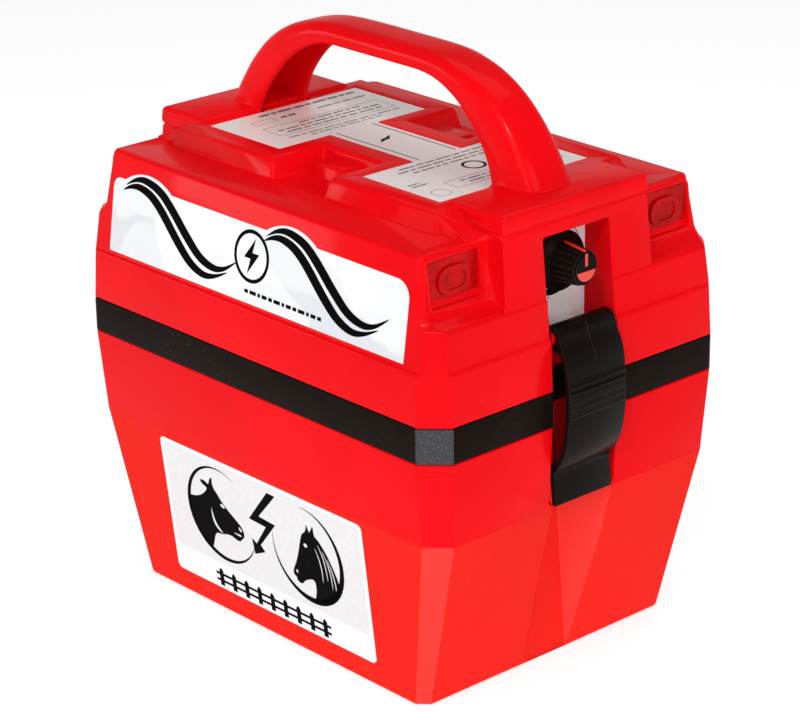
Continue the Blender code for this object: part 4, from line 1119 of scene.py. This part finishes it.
# ------------------------------------------------------------------------ lead outlets
class ENERGIZER_OT_outlet_windows(bpy.types.Operator):
    """Raised frames and deep red windows of the four pads at the housing's ends"""

    bl_idname = "energizer.outlet_windows"
    bl_label = "Outlet windows"

    HALF_Y, HALF_Z = 0.0151, 0.0106
    LIP, LIP_HEIGHT = 0.0012, 0.0006

    @staticmethod
    def sill(name, place):
        """The sloped sill at the foot of a pad's pocket."""
        deselect()
        bpy.ops.mesh.primitive_cube_add(size=1.0, location=(0, 0, 0))
        piece = bpy.context.object
        foot, head, back, front, toe = -0.0104, -0.0074, -0.0001, 0.0003, 0.0013
        for vertex in piece.data.vertices:
            outer, upper = vertex.co.x > 0, vertex.co.z > 0
            away = back if not outer else front if upper else toe
            vertex.co = (PAD_POCKET_X + away, math.copysign(0.0148, vertex.co.y),
                         head if upper else foot)
        edit_all(piece, (bpy.ops.mesh.bevel, {"offset": 0.00012, "segments": 2}))
        piece.data.transform(place)
        piece.name = piece.data.name = name
        smooth(piece, 40.0)
        return piece

    def pad(self, word, end, side):
        """Frame, window and sill of one pad; the far end's window has a moulded ring."""
        place = Matrix.Rotation(0.0 if end > 0 else math.pi, 4, "Z") @ Matrix.Translation(
            (0.0, side * end * PAD_Y, PAD_Z))
        out = Vector((1.0, 0.0, PAD_LEAN)).normalized()
        leaning = Matrix(((0.0, -PAD_LEAN, out.x, PAD_FACE_X), (1.0, 0.0, 0.0, 0.0),
                          (0.0, 1.0, out.z, 0.0), (0.0, 0.0, 0.0, 1.0)))
        upright = facing_end(PAD_POCKET_X)
        rim = [centred_card(self.HALF_Y, self.HALF_Z, 0.0020, self.LIP),
               centred_card(self.HALF_Y, self.HALF_Z, 0.0020)]
        lip = flat_shapes(f"pad_frame_{word}", rim, self.LIP_HEIGHT, place @ leaning)
        apply_modifier(lip, "BEVEL", width=0.00022, segments=2, limit_method="ANGLE")
        smooth(lip, 40.0)
        dress(lip, "shell_red", "red_plastic", "power_unit")
        plate = [rounded_card((-0.0147, -0.0078), (0.0147, 0.0102), 0.0016)]
        if end > 0:
            plate.append(centred_card(0.0094, 0.0066, 0.0064))
        pane = flat_shapes(f"pad_window_{word}", plate, 0.0003, place @ upright)
        dress(pane, "window_red", "red_plastic", "power_unit")
        dress(self.sill(f"pad_sill_{word}", place), "shell_red", "red_plastic", "power_unit")
        if end < 0:
            boss = [centred_card(0.0092, 0.0064, 0.0063), centred_card(0.0068, 0.0042, 0.0041)]
            ring = flat_shapes(f"pad_boss_{word}", boss, 0.0014, place @ upright)
            apply_modifier(ring, "BEVEL", width=0.0003, segments=2, limit_method="ANGLE")
            smooth(ring, 40.0)
            dress(ring, "window_red", "red_plastic", "power_unit")

    def execute(self, context):
        for end, end_word in ((1, "knob"), (-1, "far")):
            for side, side_word in ((1, "back"), (-1, "front")):
                self.pad(f"{end_word}_end_{side_word}", end, side)
        return {"FINISHED"}


# ------------------------------------------------------------------------ labels
# Drawings on the labels are in millimetres, as (along the side, height).
# Middle lines of the double wave at the right.
WAVE_UPPER = [(15.2, 204.3), (21.8, 208.0), (29.0, 209.1), (38.8, 206.7), (47.4, 201.1),
              (60.2, 190.2), (69.6, 183.5), (79.0, 180.9), (86.6, 182.4), (94.8, 187.8)]
WAVE_LOWER = [(13.4, 201.5), (18.9, 204.2), (25.0, 205.1), (33.1, 203.1), (41.4, 197.7),
              (53.4, 186.9), (63.0, 179.5), (72.4, 176.2), (80.4, 177.3), (88.9, 181.2)]
WAVE_THICK, WAVE_TAPER = 5.0, 0.9
WAVE_STEP = 97.4
LABEL_SHIFT, LABEL_STRETCH = 7.0, 1.056


def label_x(u):
    """Centres a drawing on the upper label and stretches it to the label's length."""
    return (u - LABEL_SHIFT) * LABEL_STRETCH


def wave_shapes():
    """Two double waves, drawn once and repeated."""
    shapes = []
    for back in (0.0, WAVE_STEP):
        for line in (WAVE_UPPER, WAVE_LOWER):
            ribbon = stroke(curved(line, 7), WAVE_THICK, WAVE_TAPER)
            shapes.append([(label_x(u - back), v) for u, v in ribbon])
    return shapes


def upper_label_outline():
    """The upper label's die-cut outline, raised over the crest of each wave."""
    half, low, top = 103.5, 170.9, 206.6
    left_round, right_round = 5.0, 8.2
    crest = circle_arc((31.1, top - 22.3), 27.7, 126, 54, 36)
    right = circle_arc((half - right_round, top - right_round), right_round, 90, 0, 10)
    left = circle_arc((left_round - half, top - left_round), left_round, 180, 90, 8)
    line = [(-half, low)] + left
    for back in (WAVE_STEP, 0.0):
        line += [(label_x(u - back), v) for u, v in crest]
    return line + right + [(half, low)]


# The lower label's bolt, ending in an arrow head.
BOLT = [(6.4, 79.2), (12.0, 78.9), (-2.2, 63.9), (9.6, 63.0), (-3.4, 48.2), (-0.6, 45.3),
        (-8.6, 41.6), (-9.6, 50.0), (-6.4, 48.0), (2.2, 59.6), (-9.9, 60.3)]
RING_LEFT, RING_RIGHT = (-31.5, 54.6), (31.5, 54.6)

# The cow's outline starts and ends at its ring. The horse's runs from an ear down the face to
# its ring, and its crest from the ring back up to the ears.
COW = [(-55.4, 58.3), (-50.5, 59.0), (-45.6, 61.0), (-41.8, 64.0), (-40.4, 66.4), (-43.4, 67.7),
       (-44.6, 69.6), (-41.3, 69.9), (-38.6, 68.9), (-37.4, 71.6), (-35.3, 73.3), (-35.5, 70.2),
       (-34.6, 67.7), (-32.4, 65.4), (-29.8, 62.4), (-26.4, 59.5), (-22.6, 57.0), (-19.2, 54.8),
       (-16.6, 52.7), (-15.4, 50.0), (-15.9, 47.6), (-17.6, 46.2), (-18.8, 44.8), (-21.4, 44.4),
       (-25.0, 45.4), (-29.2, 45.0), (-33.2, 43.8), (-36.4, 43.4), (-38.5, 41.2), (-39.9, 37.6),
       (-41.8, 33.2)]
COW_EYE = [(-31.2, 60.3), (-29.9, 61.1), (-28.4, 60.5), (-27.9, 59.4), (-29.2, 59.0), (-30.6, 59.4)]
COW_CHEEK = [(-38.7, 56.4), (-38.9, 52.0), (-37.8, 48.2), (-35.2, 45.5), (-31.8, 44.6),
             (-34.2, 46.6), (-36.4, 49.2), (-37.7, 52.6)]
COW_NOSE = [(-18.9, 52.4), (-17.4, 51.8), (-16.8, 50.6), (-17.8, 50.2), (-18.9, 51.0)]
COW_MOUTH = [(-17.8, 47.5), (-20.5, 47.4), (-23.3, 48.1), (-20.7, 48.2), (-18.2, 48.3)]

HORSE = [(32.9, 71.6), (32.0, 68.4), (30.6, 66.6), (28.9, 65.2), (27.6, 62.4), (26.2, 58.6),
         (24.6, 54.0), (22.7, 49.4), (20.7, 45.6), (19.4, 42.8), (19.7, 40.8), (21.2, 39.9),
         (21.4, 38.6), (23.2, 37.6), (25.4, 38.1), (27.2, 40.0), (30.0, 41.6), (33.0, 42.6),
         (34.6, 41.4), (34.8, 37.8), (33.8, 33.6), (32.2, 30.1)]
HORSE_CREST = [(53.2, 43.6), (51.6, 48.2), (49.4, 53.2), (46.6, 58.2), (43.4, 62.6), (40.2, 65.8),
               (38.0, 67.4), (37.6, 71.9), (35.8, 69.6), (34.6, 67.8)]
HORSE_EYE = [(29.3, 60.1), (30.5, 60.9), (31.8, 60.3), (31.6, 59.2), (30.2, 58.8)]
HORSE_NOSTRIL = [(21.2, 43.6), (22.2, 44.2), (22.8, 43.2), (22.1, 42.4)]
MANE = [[(39.5, 63.2), (42.0, 58.4), (43.6, 52.2), (44.2, 45.6)],
        [(42.4, 60.8), (45.2, 55.2), (46.8, 48.8), (47.2, 42.2)],
        [(45.4, 57.6), (48.0, 51.6), (49.4, 45.4), (49.6, 40.4)],
        [(37.2, 60.6), (39.4, 55.6), (40.6, 49.8), (40.6, 43.6)]]


def head_shapes():
    """Two plain farm-animal heads that rise from swelling rings, each with its lights cut out."""
    reach = sizes().ring_radius / MM
    inner = reach - 0.8
    cow = curved(COW, 3) + circle_arc(RING_LEFT, inner, 244, 171, 14)
    horse = curved(HORSE, 3) + circle_arc(RING_RIGHT, inner, 271, 333, 12) + curved(HORSE_CREST, 3)
    lights = [curved(shape, 3, True) for shape in (COW_EYE, COW_CHEEK, COW_NOSE, COW_MOUTH,
                                                   HORSE_EYE, HORSE_NOSTRIL)]
    lights += [stroke(curved(line, 4), 0.75) for line in MANE]
    return [cow, horse] + lights


def ring_shapes():
    """The swelling rings round the two heads."""
    reach = sizes().ring_radius / MM
    return [crescent(RING_LEFT, reach, 60, 345, 215, 2.7),
            crescent(RING_RIGHT, reach, 94, -190, -48, 3.4)]


def fence_posts():
    """The pointed posts of a plain pictogram of a fence."""
    count, gap, half, foot, shoulder, tip = 9, 9.5, 1.5, 13.9, 22.0, 23.6
    shapes = []
    for i in range(count):
        u = (i - (count - 1) / 2) * gap
        shapes.append([(u - half, foot), (u + half, foot), (u + half, shoulder), (u, tip),
                       (u - half, shoulder)])
    return shapes


def fence_wires():
    """The two wires across the posts."""
    return [bar(0.0, v, 42.0, 0.7) for v in (16.6, 20.2)]


def emblem_shapes():
    """A plain bolt in a ring."""
    u, v = centre = (label_x(6.5), 192.6)
    ring = [full_circle(centre, radius, 60) for radius in (12.2, 10.4)]
    bolt = [(u + 2.2, v + 8.6), (u - 5.2, v - 1.2), (u - 0.7, v - 1.2), (u - 2.4, v - 8.6),
            (u + 5.2, v + 1.7), (u + 0.5, v + 1.7)]
    return ring + [bolt]


def dash_line():
    """A plain broken line under the emblem."""
    runs, gap, height, half = (2.6, 4.4, 1.8, 3.4), 1.15, 176.3, 0.85
    shapes, u = [], label_x(3.5)
    for i in range(13):
        run = runs[i % len(runs)]
        shapes.append(bar(u + run / 2, height, run / 2, half))
        u += run + gap
    return shapes


class ENERGIZER_OT_side_labels(bpy.types.Operator):
    """Printed labels on both long sides"""

    bl_idname = "energizer.side_labels"
    bl_label = "Side labels"

    @staticmethod
    def mark(name, shapes, place, body, finish="print_black"):
        """Flat shapes printed at a place."""
        printed = flat_shapes(name, in_metres(shapes), sizes().ink, place)
        return dress(printed, finish, "label_film", body)

    def upper(self, word, side):
        """Waves, emblem and a broken line on a die-cut sheet."""
        name = f"upper_label_{word}"
        sheet = flat_shapes(f"{name}_film", in_metres([upper_label_outline()]), sizes().film,
                            leaning_place(housing_half_y, side, SHEET_GAP))
        dress(sheet, "label_satin", "label_film", "power_unit", name)
        over = leaning_place(housing_half_y, side, SHEET_GAP + sizes().film + PRINT_GAP)
        for part, shapes in (("waves", wave_shapes()), ("emblem", emblem_shapes()),
                             ("line", dash_line())):
            self.mark(f"{name}_{part}", shapes, over, "power_unit")

    def lower(self, word, side):
        """Animal heads in rings, a bolt and a fence on a white sheet with a grey panel."""
        name = f"lower_label_{word}"
        outline = rounded_card((-72.5, 12.3), (72.5, 84.3), 3.0)
        sheet = flat_shapes(f"{name}_film", in_metres([outline]), sizes().film,
                            leaning_place(tub_half_y, side, SHEET_GAP))
        dress(sheet, "label_white", "label_film", "tub", name)
        on_sheet = SHEET_GAP + sizes().film + PRINT_GAP
        under = leaning_place(tub_half_y, side, on_sheet)
        over = leaning_place(tub_half_y, side, on_sheet + sizes().ink + 2 * PRINT_GAP)
        panel = rounded_card((-70.2, 26.6), (70.2, 82.2), 1.6)
        self.mark(f"{name}_panel", [panel], under, "tub", "label_grey")
        for part, shapes, place in (("rings", ring_shapes(), over), ("heads", head_shapes(), over),
                                    ("bolt", [BOLT], over), ("posts", fence_posts(), over),
                                    ("wires", fence_wires(), under)):
            self.mark(f"{name}_{part}", shapes, place, "tub")

    def execute(self, context):
        for word, side in SIDES.items():
            self.upper(word, side)
            self.lower(word, side)
        return {"FINISHED"}


def dash_row(x, low, high, half, pattern):
    """A row of short dashes along Y, in place of a line of small print."""
    gap = 1.3
    shapes, y = [], low
    while y < high:
        run = min(pattern[len(shapes) % len(pattern)], high - y)
        shapes.append(bar(x, y + run / 2, half, run / 2))
        y += run + gap
    return shapes


class ENERGIZER_OT_top_label(bpy.types.Operator):
    """H-shaped label on the plateau"""

    bl_idname = "energizer.top_label"
    bl_label = "Top label"

    FILM = 0.00028
    INNER_X, ARM_Y = 0.0289, 0.0146
    BOLT = [(-9.5, 5.2), (-7.0, -1.0), (-8.0, -1.0), (-3.4, -6.2), (-5.4, 0.4), (-4.3, 0.4)]
    DASHES = ((6.2, 3.1, 8.4), (3.4, 7.7, 2.6), (9.1, 4.2, 5.3))
    # Each row of dashes: place along X, its two ends along Y, half its thickness.
    ROWS = ((-74.5, -20.0, 40.0, 0.95), (-66.5, -13.0, -4.0, 0.90), (-66.5, 10.0, 40.0, 0.60),
            (-54.5, -12.0, 26.0, 0.60), (-50.5, -28.0, 35.0, 0.60), (-46.6, -26.0, 34.0, 0.60),
            (-39.0, -31.0, 38.0, 0.45), (-35.8, -20.0, 24.0, 0.45), (33.6, -28.0, 28.0, 0.55),
            (37.4, -32.0, 32.0, 0.55), (41.2, -26.0, 24.0, 0.55), (56.5, -41.0, -31.0, 0.50),
            (53.5, -41.0, -33.0, 0.50), (63.8, -19.0, 30.0, 0.55), (67.2, -16.0, 26.0, 0.55))

    def outline(self, corner):
        """The H, from the corner of the CAD label."""
        inner, arm = self.INNER_X, self.ARM_Y
        right = [(inner, -arm), (inner, -corner.y), (corner.x, -corner.y), (corner.x, corner.y),
                 (inner, corner.y), (inner, arm)]
        return right + [(-x, -y) for x, y in right]

    @staticmethod
    def bold_marks():
        """Two rules across the middle and a ring."""
        rules = [bar(0.0, y, 28.5, 0.30) for y in (-11.0, 11.6)]
        return rules + [full_circle((50.8, 2.0), radius, 48) for radius in (5.9, 4.5)]

    def fine_marks(self):
        """Thin frames, a thin ring and the rows of dashes."""
        thin = 0.28
        shapes = []
        for low, high in (((-57.5, -32.0), (-43.0, 39.0)), ((60.5, -26.0), (70.5, 40.0)),
                          ((-69.0, -30.0), (-63.5, -17.0))):
            shapes += frame_lines(low, high, thin)
        shapes += [full_circle((70.0, -36.0), radius, 40) for radius in (4.7, 4.4)]
        for i, (x, start, stop, half) in enumerate(self.ROWS):
            shapes += dash_row(x, start, stop, half, self.DASHES[i % len(self.DASHES)])
        return shapes

    def execute(self, context):
        low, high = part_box("top_label")
        under_z = low.z - LABEL_GAP + SHEET_GAP
        sheet = flat_shapes("top_label_film", [self.outline(high)], self.FILM,
                            Matrix.Translation((0, 0, under_z)))
        dress(sheet, "label_cream", "label_film", "power_unit", "top_label")
        over = Matrix.Translation((0, 0, under_z + self.FILM + PRINT_GAP))
        for part, shapes, finish in (("marks", self.bold_marks(), "print_black"),
                                     ("rules", self.fine_marks(), "print_grey"),
                                     ("bolt", [self.BOLT], "print_black")):
            mark = flat_shapes(f"top_label_{part}", in_metres(shapes), sizes().ink, over)
            dress(mark, finish, "label_film", "power_unit")
        return {"FINISHED"}


class ENERGIZER_OT_dial(bpy.types.Operator):
    """White dial label behind the knob, with its swelling scale"""

    bl_idname = "energizer.dial"
    bl_label = "Dial label"

    FOOT_Z, HALF_Y, SHAFT_HOLE = 0.1590, 0.0203, 0.0040

    @staticmethod
    def ticks():
        """Short strokes outside the scale, in millimetres."""
        near, far, half = 18.0, 19.2, 0.32
        shapes = []
        for angle in (262, 222, 182, 142, 102, 62):
            along = Vector((math.cos(math.radians(angle)), math.sin(math.radians(angle))))
            aside = Vector((-along.y, along.x)) * half
            shapes.append([(point.x, point.y + KNOB_Z / MM) for point in (
                along * near - aside, along * far - aside, along * far + aside,
                along * near + aside)])
        return shapes

    def execute(self, context):
        low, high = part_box("dial_label")
        back_x = low.x - LABEL_GAP + SHEET_GAP
        card = [(-self.HALF_Y, self.FOOT_Z), (self.HALF_Y, self.FOOT_Z), (self.HALF_Y, high.z),
                (-self.HALF_Y, high.z)]
        hole = full_circle((0.0, KNOB_Z), self.SHAFT_HOLE, 32)
        sheet = flat_shapes("dial_film", [card, hole], sizes().film, facing_end(back_x))
        dress(sheet, "label_white", "label_film", "power_unit", "dial_label")
        scale = crescent((0.0, KNOB_Z / MM), 17.6, 10, 300, 268, 3.0)
        mark = flat_shapes("dial_scale", in_metres([scale] + self.ticks()), sizes().ink,
                           facing_end(back_x + sizes().film + PRINT_GAP))
        dress(mark, "print_black", "label_film", "power_unit")
        return {"FINISHED"}


# ------------------------------------------------------------------------ inner works
NODE_FINISHES = {
    "fence_outlet": "window_red", "earth_outlet": "window_red",
    "battery_case": "battery_print", "battery_cap": "cap_plastic",
    "battery_terminal_positive": "turned_brass", "battery_terminal_negative": "turned_brass",
    "electronics_tray": "tray_plastic", "circuit_board": "board_green",
    "storage_capacitor": "can_sleeve", "filter_capacitor": "chip_body",
    "converter_transformer": "copper_turns", "control_chip": "chip_body",
    "discharge_thyristor": "chip_body", "heat_sink": "cast_aluminium",
    "transformer_core": "core_lamination", "transformer_winding": "copper_turns",
    "fence_terminal": "turned_brass", "earth_terminal": "turned_brass",
    "fence_wire": "wire_red", "earth_wire": "wire_black", "potentiometer": "zinc_plate",
    "control_washer": "zinc_plate", "control_nut": "zinc_plate", "control_shaft": "zinc_plate",
    "control_ribbon": "flat_cable", "knob_pointer_cap": "knob_black",
    "battery_clip_positive": "wire_red", "battery_clip_negative": "wire_black",
    "battery_lead_positive": "wire_red", "battery_lead_negative": "wire_black",
}


class ENERGIZER_OT_battery_ribs(bpy.types.Operator):
    """Raised ribs on the battery's cap"""

    bl_idname = "energizer.battery_ribs"
    bl_label = "Battery cap ribs"

    FIRST, PITCH, SUNK = 0.0160, 0.0165, 0.0002
    SIZE = (0.0030, 0.0880, 0.0012)

    def execute(self, context):
        low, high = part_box("battery_cap")
        pieces = []
        for i in range(sizes().rib_count):
            deselect()
            x = low.x + self.FIRST + i * self.PITCH
            z = high.z + self.SIZE[2] / 2 - self.SUNK
            bpy.ops.mesh.primitive_cube_add(size=1.0, location=(x, 0.0, z))
            rib = context.object
            rib.scale = self.SIZE
            bpy.ops.object.transform_apply(location=True, rotation=False, scale=True)
            apply_modifier(rib, "BEVEL", width=0.0005, segments=2, limit_method="ANGLE")
            pieces.append(rib)
        ribs = join_pieces(pieces, "battery_cap_ribs")
        smooth(ribs, 40.0)
        dress(ribs, "cap_plastic", "grey_plastic", "tub")
        return {"FINISHED"}


class ENERGIZER_OT_inner_finishes(bpy.types.Operator):
    """Finishes of the pieces inside the power unit and tub"""

    bl_idname = "energizer.inner_finishes"
    bl_label = "Inner finishes"

    def execute(self, context):
        for name, node in NODES.items():
            finish = "zinc_plate" if "screw" in name else NODE_FINISHES.get(name)
            if finish is not None:
                node.data.materials.clear()
                node.data.materials.append(finish_named(finish))
        return {"FINISHED"}


# ------------------------------------------------------------------------ stage
def direction(azimuth, elevation):
    """The way out from the model at these angles; azimuth 0 is the front."""
    return Vector((math.sin(azimuth) * math.cos(elevation),
                   -math.cos(azimuth) * math.cos(elevation), math.sin(elevation)))


class ENERGIZER_OT_stage(bpy.types.Operator):
    """Pale floor, soft lights and the camera"""

    bl_idname = "energizer.stage"
    bl_label = "Stage"

    FLOOR_SIZE, FLOOR_Z = 24.0, -0.0005
    LIT_POINT = Vector((0.0, 0.0, 0.13))
    # Each light: azimuth, elevation, distance, width, height, the setting with its power.
    LIGHTS = {
        "key_light": (28.0, 38.0, 1.5, 0.90, 0.90, "key_power"),
        "side_light": (82.0, 26.0, 1.5, 0.80, 0.80, "side_power"),
        "top_light": (200.0, 72.0, 1.3, 0.90, 0.90, "top_power"),
        "strip_light": (-46.0, 9.0, 1.6, 0.60, 0.26, "strip_power"),
        "glint_light": (36.0, 46.0, 1.7, 0.12, 0.12, "glint_power"),
    }

    def floor(self, context):
        """A wide floor just under the tub."""
        deselect()
        bpy.ops.mesh.primitive_plane_add(size=self.FLOOR_SIZE, location=(0, 0, self.FLOOR_Z))
        floor = settle(context.object, "plain_floor")
        floor.data.materials.append(finish_named("plain_floor"))

    @staticmethod
    def sky(context):
        """Soft light all round, brightest near the floor."""
        stage = context.scene.energizer_stage
        world = bpy.data.worlds.new("soft_sky")
        sky = Paint("soft_sky", world)
        height = sky.part(sky.node("ShaderNodeTexCoord", out="Generated"), "Z")
        glow = height.between(0.0, 0.55, stage.horizon, stage.sky)
        light = sky.node("ShaderNodeBackground", None,
                         {"Color": (1.0, 1.0, 1.0, 1.0), "Strength": glow})
        sky.node("ShaderNodeOutputWorld", None, {"Surface": light})
        context.scene.world = world

    def lights(self, context):
        """Soft rectangles of light, all turned towards one point."""
        for name, (azimuth, elevation, away, width, height, power) in self.LIGHTS.items():
            data = bpy.data.lights.new(name, "AREA")
            data.shape = "RECTANGLE"
            data.size = width
            data.size_y = height
            data.energy = getattr(context.scene.energizer_stage, power)
            lamp = bpy.data.objects.new(name, data)
            context.scene.collection.objects.link(lamp)
            back = direction(math.radians(azimuth), math.radians(elevation))
            lamp.location = self.LIT_POINT + back * away
            lamp.rotation_euler = back.to_track_quat("Z", "Y").to_euler()

    @staticmethod
    def camera(context):
        """The camera, as the settings place and turn it."""
        stage = context.scene.energizer_stage
        camera = bpy.data.objects.new("camera", bpy.data.cameras.new("camera"))
        context.scene.collection.objects.link(camera)
        camera.data.lens = stage.lens
        camera.data.sensor_width = 36.0
        camera.data.clip_end = 60.0
        camera.location = stage.camera_place
        facing = direction(stage.azimuth, stage.elevation).to_track_quat("Z", "Y").to_matrix()
        camera.rotation_euler = (facing @ Matrix.Rotation(-stage.roll, 3, "Z")).to_euler()
        context.scene.camera = camera

    def execute(self, context):
        self.floor(context)
        self.sky(context)
        self.lights(context)
        self.camera(context)
        context.scene.view_settings.view_transform = "Standard"
        return {"FINISHED"}


# ------------------------------------------------------------------------ panel and run
class ENERGIZER_PT_panel(bpy.types.Panel):
    """Lists the makers of the energizer's pieces"""

    bl_idname = "ENERGIZER_PT_panel"
    bl_label = "Fence Energizer"
    bl_space_type = "VIEW_3D"
    bl_region_type = "UI"
    bl_category = "Energizer"

    def draw(self, context):
        for operator in OPERATORS:
            self.layout.operator(operator.bl_idname)
        for group in ("energizer_sizes", "energizer_colours", "energizer_stage"):
            settings = getattr(context.scene, group)
            for key in settings.__annotations__:
                self.layout.prop(settings, key)


GROUPS = (EnergizerSizes, EnergizerColours, EnergizerStage)
OPERATORS = (
    ENERGIZER_OT_stage,
    ENERGIZER_OT_housing,
    ENERGIZER_OT_tub,
    ENERGIZER_OT_latches,
    ENERGIZER_OT_knob,
    ENERGIZER_OT_outlet_windows,
    ENERGIZER_OT_side_labels,
    ENERGIZER_OT_top_label,
    ENERGIZER_OT_dial,
    ENERGIZER_OT_battery_ribs,
    ENERGIZER_OT_inner_finishes,
)


def register():
    for item in (*GROUPS, *OPERATORS, ENERGIZER_PT_panel):
        bpy.utils.register_class(item)
    bpy.types.Scene.energizer_sizes = PointerProperty(type=EnergizerSizes)
    bpy.types.Scene.energizer_colours = PointerProperty(type=EnergizerColours)
    bpy.types.Scene.energizer_stage = PointerProperty(type=EnergizerStage)


def unregister():
    for key in ("energizer_sizes", "energizer_colours", "energizer_stage"):
        delattr(bpy.types.Scene, key)
    for item in reversed((*GROUPS, *OPERATORS, ENERGIZER_PT_panel)):
        bpy.utils.unregister_class(item)


def main():
    register()
    for operator in OPERATORS:
        group, name = operator.bl_idname.split(".")
        if getattr(getattr(bpy.ops, group), name)() != {"FINISHED"}:
            raise RuntimeError(f"{operator.bl_label} didn't finish")


if __name__ == "__main__":
    main()
